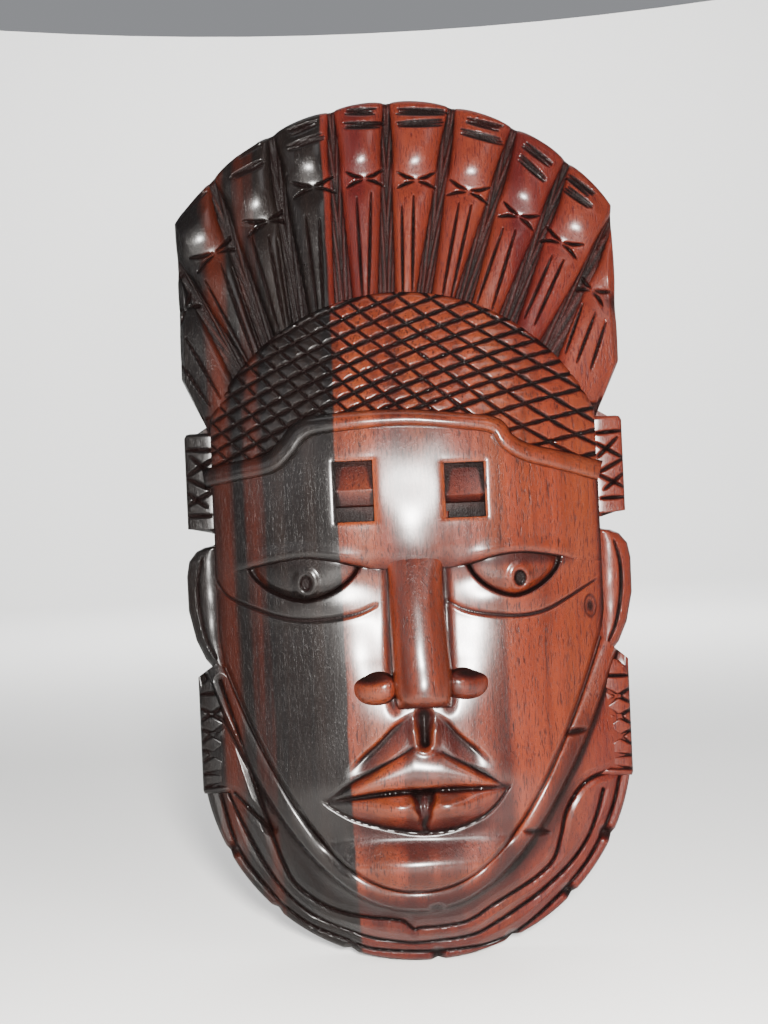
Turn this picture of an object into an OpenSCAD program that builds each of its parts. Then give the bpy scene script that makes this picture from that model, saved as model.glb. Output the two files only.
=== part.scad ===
// Carved wooden wall mask with a hollowed back and a ring hanger in a recess.
// The front looks along -Y and the flat back lies in the plane Y = 0.
// The origin is on the flat back, on the centre line, between the hollow and the hanger's recess.

/* [Mask] */
// Height of the whole mask
mask_height = 350; // [320:5:380]
// Thickness of the wood at the outer rim
rim_thick = 15; // [13:1:17]
// Height of the forehead above the back
forehead_height = 48; // [44:1:52]
// Height of the nose tip above the back
nose_height = 60; // [58:1:64]
// Thickness of the wood left around the hollow
wall_thick = 13; // [11:1:16]

/* [Crest] */
// Number of ribs in the crest's fan
rib_count = 10; // [8:2:12]
// Height of a rib above the grooves beside it
rib_rise = 5; // [3:0.5:6]

/* [Collar] */
// Number of rope bands that follow the lower edge
band_count = 3; // [2:1:3]
// Width of one rope band
band_width = 7; // [6:0.5:7.5]

/* [Hanger] */
// Inside width of the ring
ring_inner_width = 15.6; // [14:0.2:17]
// Radius of the ring's wire
wire_r = 1.2; // [1:0.1:1.3]
// Length of the ring's straight arms
ring_arm = 4; // [3:0.5:6]
// Width of the strap
strap_width = 10; // [9:0.5:11]
// Thickness of the strap's sheet
strap_thick = 1; // [0.8:0.1:1.2]
// Depth of the recess that the hanger lies in
recess_depth = 5.5; // [5.3:0.1:7]

/* [Hidden] */
$fn = 64;

// u is the carving's own unit: every carved feature scales with the mask's height
u = mask_height / 350;
origin_z = 250 * u;
front_reach = 90 * u;

// Outline of the front, seen from the front, with z measured from the lowest point
crest_arc_r = 108.7 * u;
crest_arc_z = mask_height - crest_arc_r;
crest_half = 89 * u;
crest_side_z = 240 * u;
cheek_half = 79 * u;
cheek_top_z = 219 * u;
chin_arc_r = 87.5 * u;
chin_arc_z = chin_arc_r;

// The face is part of a barrel that stands upright behind the mask
barrel_r = 139 * u;
barrel_y = barrel_r - 46 * u;
forehead_add = forehead_height - 48;
cap_arc_r = 85 * u;
cap_arc_z = 186 * u;
face_half = 78 * u;
chin_z = 34 * u;
chin_curve = 0.0168 / u;
brow_z = 164 * u;
face_x = 1 * u;

// Heights of the front along the centre line, each [z, height above the back]
face_heights = [
    [24, 30], [30, 38], [35, 44], [43, 48.5], [56, 50], [76, 49.5], [96, 48], [114, 46],
    [132, 43.5], [150, 41], [brow_z / u, 39.5], [brow_z / u + 1.5, 45.5], [172, 47.5],
    [190, 48], [208, 47], [222, 45.5], [240, 41], [254, 36], [266, 30.5], [276, 25]
];

// Nose, mouth and eyes
nose_r = 11 * u;
nose_top_z = 170 * u;
nose_tip_z = 107 * u;
wing_r = 8 * u;
wing_gap = 18.5 * u;
wing_z = 115 * u;
wing_height = 50 * u;
mouth_z = 75 * u;
mouth_half = 34 * u;
lip_rise = 4 * u;
upper_lip_top = 90 * u;
lower_lip_low = 59 * u;
eye_gap = 41 * u;
eye_r = 20 * u;
eye_sink = 14.5 * u;
tab_gap = 22 * u;
tab_width = 15.5 * u;
tab_low_z = 179 * u;
tab_high_z = 203 * u;
tab_depth = 7 * u;

// Brow band
band_rise = 4 * u;
brow_width = 8 * u;

// Collar
collar_top_z = 71 * u;
band_step = 3.6 * u;

// Blocks and ears at the sides
block_out = 89 * u;
block_rise = 4 * u;
cut_r = 1.4 * u;

// Hollow
hollow_half = 61 * u;
hollow_low_z = 47 * u;
hollow_top_r = 68 * u;
hollow_top_z = 152 * u;

// Hanger
hanger_z = 300 * u - origin_z;
floor_y = -recess_depth;
knuckle_r = strap_thick + wire_r + 0.2;
knuckle_half = 4.5;
pivot_y = floor_y + knuckle_r;
bore_r = wire_r + 0.08;
ring_bend_r = ring_inner_width / 2 + wire_r;
strap_drop = 24;
screw_drops = [7.5, 19];
screw_r = 1.5;
screw_core_r = 1.1;
screw_length = 9;
head_r = 3;
head_thick = 1.5;
slot_depth = 0.7;
slot_half = 0.4;
recess_half = ring_bend_r + wire_r + 3;
recess_up = ring_arm + ring_bend_r + wire_r + 3;
recess_down = strap_drop + 3;

// Fan of the crest: step k counts grooves outwards from the centre line
function groove_step(i) = (i - rib_count / 2) * 10 / rib_count;
function inner_angle(k) = 8 * k + 0.9 * k * abs(k);
function outer_angle(k) = 14.4 * k;
function inner_point(k, h) = [
    (cap_arc_r - 6 * u) * sin(inner_angle(k)), -h, cap_arc_z + (cap_arc_r - 6 * u) * cos(inner_angle(k))
];
function outer_point(k, h) = [
    (crest_arc_r + 2 * u) * sin(outer_angle(k)), -h, crest_arc_z + (crest_arc_r + 2 * u) * cos(outer_angle(k))
];
// Radius of a round whose top stands s above a chord of length w
function round_r(w, s) = (w * w / 4 + s * s) / (2 * s);

// Lower edge of the face: a parabola through the chin
function jaw(x) = chin_z + chin_curve * x * x;

// Puts a shape drawn with z from the lowest point into the part's own frame
module from_base() {
    translate([0, 0, -origin_z]) children();
}

// Extrudes an outline seen from the front, from the back plane forwards
module forward(height, start = 0) {
    translate([0, -start, 0]) rotate([90, 0, 0]) linear_extrude(height - start) children();
}

// Round bar from point p to point q
module bar(p, q, r1, r2) {
    d = q - p;
    translate(p) rotate([0, acos(d.z / norm(d)), atan2(d.y, d.x)]) cylinder(h = norm(d), r1 = r1, r2 = r2);
}

module both_sides() {
    children();
    mirror([1, 0, 0]) children();
}

// Outline of the crest: a wide arc between upright sides that slope in at the foot
module crest_outline() {
    intersection() {
        translate([0, crest_arc_z]) circle(crest_arc_r);
        polygon([
            [-crest_half, mask_height], [-crest_half, crest_side_z], [-cheek_half, cheek_top_z],
            [cheek_half, cheek_top_z], [crest_half, crest_side_z], [crest_half, mask_height]
        ]);
    }
}

// Outline of the head below the crest, without its blocks and ears
module head_outline() {
    intersection() {
        translate([0, chin_arc_z]) circle(chin_arc_r);
        translate([-chin_arc_r, 0]) square([2 * chin_arc_r, chin_arc_z]);
    }
    translate([-cheek_half, chin_arc_z - 10 * u]) square([2 * cheek_half, cheek_top_z - chin_arc_z + 12 * u]);
}

// Outline of one ear
module ear_outline() {
    polygon([
        [76 * u, 122 * u], [82 * u, 124 * u], [87 * u, 134 * u], [90.5 * u, 147 * u],
        [90.5 * u, 162 * u], [88 * u, 168 * u], [83 * u, 171.5 * u], [76 * u, 172 * u]
    ]);
}

// Outline of one lower block
module lower_block_outline() {
    polygon([
        [74 * u, 70 * u], [86 * u, 72 * u], [87.5 * u, 84 * u], [87.5 * u, 114 * u],
        [84 * u, 119 * u], [74 * u, 120 * u]
    ]);
}

// Outline of one upper block
module upper_block_outline() {
    translate([76 * u, 179 * u]) square([block_out - 76 * u, 39 * u]);
}

// Solid of revolution whose front is the barrel, moved outwards by add
module barrel(add) {
    points = [for (p = face_heights) [barrel_y + p[1] * u + forehead_add + add, p[0] * u]];
    last = len(points) - 1;
    translate([0, barrel_y, 0]) rotate_extrude()
        polygon(concat([[0, points[0].y]], points, [[0, points[last].y]]));
}

// Outline of the face and the net cap above it
module face_outline() {
    steps = 16;
    jaw_line = [for (i = [0:steps]) let (x = face_half * (2 * i / steps - 1)) [x, jaw(x)]];
    polygon(concat(jaw_line, [[face_half, 200 * u], [-face_half, 200 * u]]));
    intersection() {
        translate([0, cap_arc_z]) circle(cap_arc_r);
        translate([-face_half, 199 * u]) square([2 * face_half, 90 * u]);
    }
}

// Flat plate that carries all the carving
module plate() {
    forward(rim_thick) {
        crest_outline();
        head_outline();
    }
    both_sides() forward(rim_thick) {
        ear_outline();
        lower_block_outline();
        upper_block_outline();
    }
}

// Fan of half-round ribs
module crest_ribs() {
    intersection() {
        union() for (i = [0:rib_count - 1]) {
            a = groove_step(i);
            b = groove_step(i + 1);
            mid = (a + b) / 2;
            r_in = round_r(norm(inner_point(b, 0) - inner_point(a, 0)), rib_rise - 1);
            r_out = round_r(norm(outer_point(b, 0) - outer_point(a, 0)), rib_rise);
            h_in = 25 * u - r_in;
            h_out = rim_thick + rib_rise - 1.5 - r_out;
            bar(inner_point(mid, h_in), outer_point(mid, h_out), r_in, r_out);
        }
        forward(40 * u) crest_outline();
    }
}

// Face and cap, cut from the barrel
module face_dome() {
    intersection() {
        barrel(0);
        forward(front_reach) face_outline();
    }
}

// Raised moulding between the cap and the forehead
module brow_band() {
    half = brow_width / 2;
    middle = [[-78, 198], [-52, 204], [-40, 217], [0, 220], [40, 217], [52, 204], [78, 196]] * u;
    intersection() {
        barrel(band_rise);
        forward(front_reach) polygon(concat(
            [for (p = middle) p + [0, half]],
            [for (i = [len(middle) - 1:-1:0]) middle[i] - [0, half]]
        ));
    }
}

// Straight half-round ridge of the nose with a ball at each wing
module nose() {
    bar([face_x, nose_r - 50 * u, nose_top_z], [face_x, nose_r - nose_height, nose_tip_z], nose_r, nose_r);
    for (side = [-1, 1])
        translate([face_x + side * wing_gap, wing_r - wing_height - 2 * u, wing_z]) sphere(wing_r);
}

// Eyeballs, flat-topped under the brow
module eyes() {
    for (side = [-1, 1]) intersection() {
        translate([face_x + side * eye_gap, eye_sink - 35.5 * u, brow_z - 3 * u]) sphere(eye_r);
        translate([-cheek_half, -front_reach, brow_z - eye_r]) cube([2 * cheek_half, front_reach, eye_r + 0.5 * u]);
    }
}

// Lips: two wedges that meet in the mouth line
module lips() {
    intersection() {
        barrel(lip_rise);
        forward(front_reach) translate([face_x, 0]) {
            polygon([
                [-mouth_half, mouth_z + u], [-5 * u, upper_lip_top], [7 * u, upper_lip_top],
                [mouth_half, mouth_z + u]
            ]);
            polygon([
                [-mouth_half, mouth_z - u], [mouth_half, mouth_z - u], [20 * u, lower_lip_low + 3 * u],
                [0, lower_lip_low], [-20 * u, lower_lip_low + 3 * u]
            ]);
        }
    }
}

// Turns a shape drawn round the Z axis to face forwards, centred on the lower edge's arc
module round_chin() {
    translate([0, 0, chin_arc_z]) rotate([90, 0, 0]) children();
}

// Keeps what lies below height top
module below(top) {
    intersection() {
        children();
        translate([-front_reach, -front_reach, -u]) cube([2 * front_reach, front_reach, top + u]);
    }
}

// Collar: a cone under the jaw with rope bands along the outer edge
module collar() {
    cone = [[0, 0], [chin_arc_r, 0], [chin_arc_r, rim_thick], [68 * u, 26 * u], [52 * u, 32 * u], [0, 32 * u]];
    below(110 * u) round_chin() rotate_extrude() polygon(cone);
    below(collar_top_z) round_chin()
        for (i = [0:band_count - 1])
            translate([0, 0, rim_thick + (i + 0.5) * band_step]) rotate_extrude()
                translate([chin_arc_r - (i + 0.5) * band_width * u, 0]) circle(band_width * u / 2);
}

// Raised faces of the blocks and ears, with their gouged crosses and lines
module side_relief() {
    both_sides() {
        forward(rim_thick + block_rise) intersection() {
            union() {
                upper_block_outline();
                ear_outline();
                lower_block_outline();
            }
            translate([79 * u, 0]) square([20 * u, mask_height]);
        }
    }
}

// Gouged cuts across the blocks
module side_cuts() {
    top = -rim_thick - block_rise;
    both_sides() for (block = [[180, 217], [76, 117]]) {
        low = (block[0] + 8) * u;
        high = (block[1] - 8) * u;
        for (z = [low, high]) bar([78 * u, top, z], [92 * u, top, z], cut_r, cut_r);
        bar([78 * u, top, low], [92 * u, top, high], cut_r, cut_r);
        bar([78 * u, top, high], [92 * u, top, low], cut_r, cut_r);
    }
}

// Sunk rectangles in the forehead, each with a roof-shaped wedge left inside
module tab_cuts() {
    depth = forehead_height - tab_depth;
    ridge_z = 192 * u;
    for (side = [-1, 1]) translate([side * tab_gap, 0, 0]) difference() {
        translate([-tab_width / 2, -front_reach, tab_low_z])
            cube([tab_width, front_reach - depth + 6 * u, tab_high_z - tab_low_z]);
        translate([-tab_width / 2 - 1, 0, 0]) rotate([90, 0, 90]) linear_extrude(tab_width + 2)
            polygon([
                [0, tab_low_z - 1], [6 * u - depth, tab_low_z - 1], [-depth + 3 * u, tab_low_z + 3 * u],
                [-depth - 3 * u, ridge_z], [-depth, tab_high_z + 1], [0, tab_high_z + 1]
            ]);
    }
}

// Hollow in the back, open to the wall side
module hollow() {
    intersection() {
        barrel(-wall_thick);
        forward(front_reach, -5) union() {
            intersection() {
                translate([0, hollow_top_z]) circle(hollow_top_r);
                translate([-hollow_half, 120 * u]) square([2 * hollow_half, 120 * u]);
            }
            intersection() {
                translate([0, 110 * u]) circle(hollow_half + 2 * u);
                translate([-hollow_half, hollow_low_z]) square([2 * hollow_half, 80 * u]);
            }
        }
        translate([-hollow_half - 5, -front_reach, 0]) cube([2 * hollow_half + 10, front_reach + 5, mask_height]);
    }
}

// Recess in the crest's back and the pilot holes for the screws
module hanger_recess() {
    translate([-recess_half, floor_y, hanger_z - recess_down])
        cube([2 * recess_half, recess_depth + 5, recess_down + recess_up]);
    for (drop = screw_drops)
        translate([0, floor_y + 1, hanger_z - drop]) rotate([90, 0, 0])
            cylinder(h = screw_length - strap_thick + 2, r = screw_r);
}

// Crest, collar, blocks and ears on their plate
module surround() {
    difference() {
        union() {
            plate();
            crest_ribs();
            collar();
            side_relief();
        }
        side_cuts();
    }
}

// Face and cap with everything carved on them
module face() {
    difference() {
        union() {
            face_dome();
            brow_band();
            lips();
        }
        tab_cuts();
    }
    nose();
    eyes();
}

module carved_mask() {
    color("saddlebrown") difference() {
        from_base() difference() {
            union() {
                surround();
                face();
            }
            hollow();
        }
        hanger_recess();
    }
}

// Strap of folded sheet, with a rolled knuckle round the ring's bar
module hanger_strap() {
    color("silver") difference() {
        union() {
            translate([-strap_width / 2, floor_y, hanger_z - strap_drop])
                cube([strap_width, strap_thick, strap_drop]);
            translate([-knuckle_half, pivot_y, hanger_z]) rotate([0, 90, 0]) cylinder(h = 2 * knuckle_half, r = knuckle_r);
        }
        translate([-knuckle_half - 1, pivot_y, hanger_z]) rotate([0, 90, 0])
            cylinder(h = 2 * knuckle_half + 2, r = bore_r);
        for (drop = screw_drops)
            translate([0, floor_y + strap_thick + 1, hanger_z - drop]) rotate([90, 0, 0])
                cylinder(h = strap_thick + 2, r = screw_r + 0.2);
    }
}

// D-shaped ring of round wire, standing up
module hanger_ring() {
    color("silver") translate([0, pivot_y, hanger_z]) {
        translate([-ring_bend_r, 0, 0]) rotate([0, 90, 0]) cylinder(h = 2 * ring_bend_r, r = wire_r);
        for (side = [-1, 1]) {
            translate([side * ring_bend_r, 0, 0]) sphere(wire_r);
            translate([side * ring_bend_r, 0, 0]) cylinder(h = ring_arm, r = wire_r);
        }
        translate([0, 0, ring_arm]) rotate([90, 0, 0])
            rotate_extrude(angle = 180) translate([ring_bend_r, 0]) circle(wire_r);
    }
}

// Two slotted wood screws
module hanger_screws() {
    color("goldenrod") for (drop = screw_drops)
        translate([0, floor_y + strap_thick, hanger_z - drop]) rotate([90, 0, 0]) difference() {
            union() {
                cylinder(h = screw_length, r = screw_core_r);
                cylinder(h = strap_thick, r = screw_r);
                translate([0, 0, -head_thick]) cylinder(h = head_thick, r1 = head_r - 0.8, r2 = head_r);
            }
            translate([-head_r - 1, -slot_half, -head_thick - 1]) cube([2 * head_r + 2, 2 * slot_half, slot_depth + 1]);
        }
}

carved_mask();
hanger_strap();
hanger_ring();
hanger_screws();
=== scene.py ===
"""Carved wooden wall mask: carved wood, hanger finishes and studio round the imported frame.

All carving is laid out in millimetres on a flat sheet before the mask, x to the right, z up from
the lowest point, and thrown onto the relief from a reading point in front. h is the height above
the flat back, which lies in the plane Y = 0.
"""

import math

import bpy
import numpy as np
from bpy.props import FloatProperty, FloatVectorProperty, PointerProperty
from bpy.types import Operator, Panel, PropertyGroup
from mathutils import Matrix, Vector


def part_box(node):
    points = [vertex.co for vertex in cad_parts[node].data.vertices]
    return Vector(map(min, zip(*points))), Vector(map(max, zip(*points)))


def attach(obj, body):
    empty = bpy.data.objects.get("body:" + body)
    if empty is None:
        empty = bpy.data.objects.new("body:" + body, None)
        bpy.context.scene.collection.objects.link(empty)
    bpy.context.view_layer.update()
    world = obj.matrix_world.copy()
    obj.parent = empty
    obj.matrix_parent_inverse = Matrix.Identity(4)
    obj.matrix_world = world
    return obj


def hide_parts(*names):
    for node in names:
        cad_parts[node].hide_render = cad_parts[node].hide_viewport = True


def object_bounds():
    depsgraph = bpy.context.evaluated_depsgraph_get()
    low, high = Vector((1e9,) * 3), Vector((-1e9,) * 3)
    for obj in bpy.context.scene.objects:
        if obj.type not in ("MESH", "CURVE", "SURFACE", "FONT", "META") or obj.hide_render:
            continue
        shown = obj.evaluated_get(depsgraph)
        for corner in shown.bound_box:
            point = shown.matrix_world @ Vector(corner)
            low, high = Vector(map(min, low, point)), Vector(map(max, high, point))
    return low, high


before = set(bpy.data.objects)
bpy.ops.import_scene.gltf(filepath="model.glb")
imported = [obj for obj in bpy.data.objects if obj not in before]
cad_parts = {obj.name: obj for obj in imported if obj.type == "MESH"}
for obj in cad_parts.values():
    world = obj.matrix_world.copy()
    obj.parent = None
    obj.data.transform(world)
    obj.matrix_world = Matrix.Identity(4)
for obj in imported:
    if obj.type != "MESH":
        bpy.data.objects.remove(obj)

bl_info = {
    "name": "Carved Wall Mask",
    "version": (1, 0, 0),
    "blender": (4, 5, 0),
    "location": "View3D > Sidebar > Mask",
    "description": "Builds a carved two-tone wall mask with its hanger and studio",
    "category": "Add Mesh",
}

CAD_BOX = [list(corner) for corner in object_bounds()]
BASE_Z = CAD_BOX[0][2]
BODY = "mask"
BLOCK = "carved_mask"
MM = 0.001

# Reading point that the layout is thrown from, and the height of the layout sheet
READ_X, READ_Z, READ_D, SHEET_H = -8.4, 182.8, 560.0, 15.0
# The layout's x is measured from a line this far beside the mask's own centre line
AXIS_X = 1.5
PLATE_H = 9.0
RNG_SEED = 7
SIDE_NAMES = ("left", "right")
# Rows or columns of a fine face per row or column of its coarse back
STEP = 6


# ---------------------------------------------------------------- meshes

def place(x, z, h):
    """Throws layout points onto the relief: each moves towards the reading point by its height."""
    near = 1 - np.maximum(h - SHEET_H, 0) / READ_D
    px = READ_X + (x - READ_X) * near - AXIS_X
    pz = READ_Z + (z - READ_Z) * near
    return np.stack([px * MM, -h * MM, BASE_Z + pz * MM], axis=-1)


def new_mesh(name, points, faces, cut=None, sharp=35):
    """Mesh object from an array of points and a list of index arrays, one array per number of corners."""
    mesh = bpy.data.meshes.new(name)
    points = np.asarray(points, dtype=np.float32).reshape(-1, 3)
    corners = np.concatenate([f.reshape(-1) for f in faces]).astype(np.int32)
    totals = np.concatenate([np.full(len(f), f.shape[1]) for f in faces]).astype(np.int32)
    starts = np.concatenate([[0], np.cumsum(totals)[:-1]]).astype(np.int32)
    mesh.vertices.add(len(points))
    mesh.vertices.foreach_set("co", points.reshape(-1))
    mesh.loops.add(len(corners))
    mesh.loops.foreach_set("vertex_index", corners)
    mesh.polygons.add(len(totals))
    mesh.polygons.foreach_set("loop_start", starts)
    mesh.polygons.foreach_set("loop_total", totals)
    mesh.update(calc_edges=True)
    mesh.polygons.foreach_set("use_smooth", np.ones(len(totals), dtype=bool))
    mesh.set_sharp_from_angle(angle=math.radians(sharp))
    shade = np.zeros(len(points), dtype=np.float32)
    if cut is not None:
        shade[: cut.size] = cut.reshape(-1)
    mesh.attributes.new("cut", "FLOAT", "POINT").data.foreach_set("value", shade)
    obj = bpy.data.objects.new(name, mesh)
    bpy.context.scene.collection.objects.link(obj)
    return obj


def quads(index):
    """Quads of a grid of vertex numbers, anticlockwise where rows go up and columns go right."""
    return np.stack([index[:-1, :-1], index[:-1, 1:], index[1:, 1:], index[1:, :-1]], axis=-1).reshape(-1, 4)


def wall(fine, coarse):
    """Wall faces that join a fine border to a coarse one, one face per coarse step."""
    starts = np.arange(len(coarse) - 1)
    back = np.stack([coarse[starts], coarse[starts + 1]], axis=-1)
    run = fine[starts[:, None] * STEP + np.arange(STEP, -1, -1)[None, :]]
    return np.concatenate([back, run], axis=1)


def tile(name, x, z, h, under, cut, relief=None, sharp=35):
    """Closed carved tile: a fine face at height h, a coarse one at height under, and walls between them.

    The fine face looks forwards where it is the higher one and backwards where it is the lower.
    Stain and wear follow relief, which is h itself when not given.
    """
    relief = h if relief is None else relief
    x_up, z_up = (np.diff(a, axis=0)[:, :-1] for a in (x, z))
    x_across, z_across = (np.diff(a, axis=1)[:-1] for a in (x, z))
    if (x_across * z_up - z_across * x_up).sum() < 0:
        x, z, h, under, cut, relief = (a[:, ::-1] for a in (x, z, h, under, cut, relief))
    rows, cols = x.shape
    face = np.arange(rows * cols).reshape(rows, cols)
    low = (slice(None, None, STEP), slice(None, None, STEP))
    behind = np.arange(face[low].size).reshape(face[low].shape) + rows * cols
    cut = shade_and_weather(relief, cut)
    points = np.concatenate([place(x, z, h).reshape(-1, 3), place(x[low], z[low], under[low]).reshape(-1, 3)])
    faces = [
        quads(face),
        quads(behind)[:, ::-1],
        wall(face[0], behind[0]),
        wall(face[:, -1], behind[:, -1]),
        wall(face[-1, ::-1], behind[-1, ::-1]),
        wall(face[::-1, 0], behind[::-1, 0]),
    ]
    if h.mean() < under.mean():
        faces = [f[:, ::-1] for f in faces]
    return new_mesh(name, points, faces, cut, sharp)


def lattice_shape(rows, cols):
    """Row and column counts rounded so that the coarse face meets both borders."""
    return round(rows / STEP) * STEP + 1, round(cols / STEP) * STEP + 1


def lattice(rows, cols, first=0.0):
    """Grids of v, from 0 to 1 up the rows, and of u, from first to 1 across the columns."""
    rows, cols = lattice_shape(rows, cols)
    return np.meshgrid(np.linspace(0, 1, rows), np.linspace(first, 1, cols), indexing="ij")


def polar_lattice(rows, cols, centre, radii, power):
    """Polar grid of an ellipse, squared by a power under 1 and pointed by one above it.

    r runs from 1 at the rim to nearly nought at the pole, and x and z are the points.
    """
    rows, cols = lattice_shape(rows, cols)
    turn, r = np.meshgrid(np.linspace(0, 2 * math.pi, cols), np.linspace(1, 0.004, rows), indexing="ij")
    x, z = (
        at + radius * r * np.sign(share) * np.abs(share) ** power
        for at, radius, share in zip(centre, radii, (np.cos(turn), np.sin(turn)))
    )
    return r, x, z


# ---------------------------------------------------------------- curves and cuts

def smooth_line(points, parts=10):
    """Catmull-Rom curve through a few points."""
    p = np.array(points, dtype=float)
    p = np.concatenate([[2 * p[0] - p[1]], p, [2 * p[-1] - p[-2]]])
    t = np.linspace(0, 1, parts, endpoint=False)[:, None, None]
    a, b, c, d = p[:-3], p[1:-2], p[2:-1], p[3:]
    curve = 0.5 * (2 * b + (c - a) * t + (2 * a - 5 * b + 4 * c - d) * t**2 + (3 * b - a - 3 * c + d) * t**3)
    return np.concatenate([curve.transpose(1, 0, 2).reshape(-1, p.shape[1]), p[-2:-1]])


def lengths(line):
    """Distance from a line's start to each of its points."""
    return np.concatenate([[0], np.cumsum(np.hypot(*np.diff(line, axis=0).T))])


def spaced(line, count):
    """Even distances along a line, and the x and z of the points that lie there."""
    run = lengths(line)
    at = np.linspace(0, run[-1], count)
    return at, np.interp(at, run, line[:, 0]), np.interp(at, run, line[:, 1])


def level_of(line, x):
    """Height of a line that runs from left to right, read at x."""
    return np.interp(x, line[:, 0], line[:, 1])


def fade(v):
    """1 at nought and below, falling straight to 0 at one."""
    return np.clip(1 - v, 0, 1)


def bell(v):
    """Bell curve: 1 at nought, dying out either side."""
    return np.exp(-(v**2))


def arris(away, radius, last):
    """Drop of a rounded edge at a distance away from it; last keeps the wall there just off upright."""
    return radius - np.sqrt(radius**2 - np.clip(radius - away, 0, last) ** 2)


def along(x, z, line):
    """Distance to a line of points, and how far along it the nearest point lies, from 0 to 1."""
    steps = np.hypot(*np.diff(line, axis=0).T)
    whole = steps.sum()
    best = np.full(x.shape, 1e9)
    part = np.zeros(x.shape)
    gone = 0.0
    for (ax, az), (bx, bz), size in zip(line[:-1], line[1:], steps):
        ux, uz = (bx - ax) / size, (bz - az) / size
        t = np.clip((x - ax) * ux + (z - az) * uz, 0, size)
        d = np.hypot(x - ax - t * ux, z - az - t * uz)
        closer = d < best
        best = np.where(closer, d, best)
        part = np.where(closer, (gone + t) / whole, part)
        gone += size
    return best, part


def gouge(h, cut, x, z, line, width, depth, leaf=0.0):
    """Cuts a V-shaped groove along a line, in place, and stains it.

    leaf from 0 to 1 draws the groove's ends in to points, as a lifted gouge leaves them.
    """
    line = np.asarray(line, dtype=float)
    low, high = line.min(axis=0) - width, line.max(axis=0) + width
    near = (x > low[0]) & (x < high[0]) & (z > low[1]) & (z < high[1])
    if not near.any():
        return
    d, t = along(x[near], z[near], line)
    swell = 1 - leaf + leaf * np.sqrt(np.clip(np.sin(np.pi * t), 0, 1))
    half = np.maximum(width / 2 * swell, 1e-3)
    share = fade(d / half)
    h[near] -= depth * swell * share
    if cut is not None:
        cut[near] = np.maximum(cut[near], swell * np.clip(1.5 * share, 0, 1))


def dip(h, x, z, line, width, depth):
    """Presses a soft valley along a line, bell-shaped in section and shallow at its ends, in place.

    Returns the bell, from 0 to 1, for darkening.
    """
    d, t = along(x, z, np.asarray(line, dtype=float))
    section = bell(d / width) * np.clip(4 * np.minimum(t, 1 - t) + 0.15, 0, 1)
    h -= depth * section
    return section


def rough_bar(h, cut, x, z, start, end, seed):
    """Bar torn out with three overlapping cuts of uneven length, in place."""
    rng = np.random.default_rng(seed)
    (ax, az), (bx, bz) = start, end
    size = math.hypot(bx - ax, bz - az)
    ux, uz = (bx - ax) / size, (bz - az) / size
    for off in (-1.0, 0.0, 1.0):
        first, last = rng.uniform(-0.8, 1.2), size - rng.uniform(-0.8, 1.2)
        tilt = rng.uniform(-0.3, 0.3)
        ends = ((first, off + tilt), (last, off - tilt))
        run = [(ax + ux * k - uz * e, az + uz * k + ux * e) for k, e in ends]
        gouge(h, cut, x, z, run, 2.0, rng.uniform(0.8, 1.3), leaf=0.35)


def ramp(low, high, v):
    """Smooth step from 0 at low to 1 at high."""
    t = np.clip((v - low) / (high - low), 0, 1)
    return t * t * (3 - 2 * t)


def mound(x, z, cx, cz, rx, rz, rise):
    """Smooth round mound: rise at its centre, nothing from 1.3 times its radii outwards."""
    q = (((x - cx) / rx) ** 2 + ((z - cz) / rz) ** 2) / 1.7
    return rise * fade(q) ** 3


def curve_at(v, knots):
    """Smooth curve through (place, value) knots, read at v: a cubic between each two, level past the ends."""
    at, value = np.array(knots, dtype=float).T
    slope = np.gradient(value, at)
    i = np.clip(np.searchsorted(at, v) - 1, 0, len(at) - 2)
    size = at[i + 1] - at[i]
    t = np.clip((v - at[i]) / size, 0, 1)
    a, b, c, d = value[i], value[i + 1], slope[i] * size, slope[i + 1] * size
    return a + t * (c + t * (3 * (b - a) - 2 * c - d + t * (2 * (a - b) + c + d)))


def facets(x, z, size, seed):
    """Shallow hollows that a chisel leaves: smooth cells of about the given size, from -1 to 1."""
    rng = np.random.default_rng(seed)
    total = np.zeros(x.shape)
    for _ in range(5):
        turn, a, b = rng.uniform(0, math.pi), rng.uniform(0, 6), rng.uniform(0, 6)
        u = (x * math.cos(turn) + z * math.sin(turn)) * math.pi / size
        v = (z * math.cos(turn) - x * math.sin(turn)) * math.pi / (size * 2.2)
        total += np.sin(u + a + 0.8 * np.sin(v)) * np.sin(v + b)
    return total / 3


def blurred(a, half):
    """Mean over a square window, taken by running sums along rows and then columns."""
    for axis in (0, 1):
        pad = [(0, 0), (0, 0)]
        pad[axis] = (half + 1, half)
        total = np.cumsum(np.pad(a, pad, mode="edge"), axis=axis)
        low, high = [slice(None)] * 2, [slice(None)] * 2
        low[axis], high[axis] = slice(0, -2 * half - 1), slice(2 * half + 1, None)
        a = (total[tuple(high)] - total[tuple(low)]) / (2 * half + 1)
    return a


def shade_and_weather(h, cut, size=4, shade_and_stain=0.9, wear=0.8):
    """Adds painted shade and staining in hollows, wear on ridges: how far the height lies below or above its
    local mean.
    """
    lift = h - blurred(blurred(h, size), size)
    wide = h - blurred(blurred(h, 3 * size), 3 * size)
    # Painted shade: darker wherever the height lies below its local mean, as shade and stain gather in
    # hollows
    hollow = np.clip(-shade_and_stain * lift - 0.25 * wide - 0.05, 0, 0.85)
    ridge = np.clip(wear * lift - 0.03, 0, 1) * (cut < 0.15)
    return np.maximum(cut, hollow) - ridge * (hollow < 0.02)


# ---------------------------------------------------------------- the mask's own forms

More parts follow.
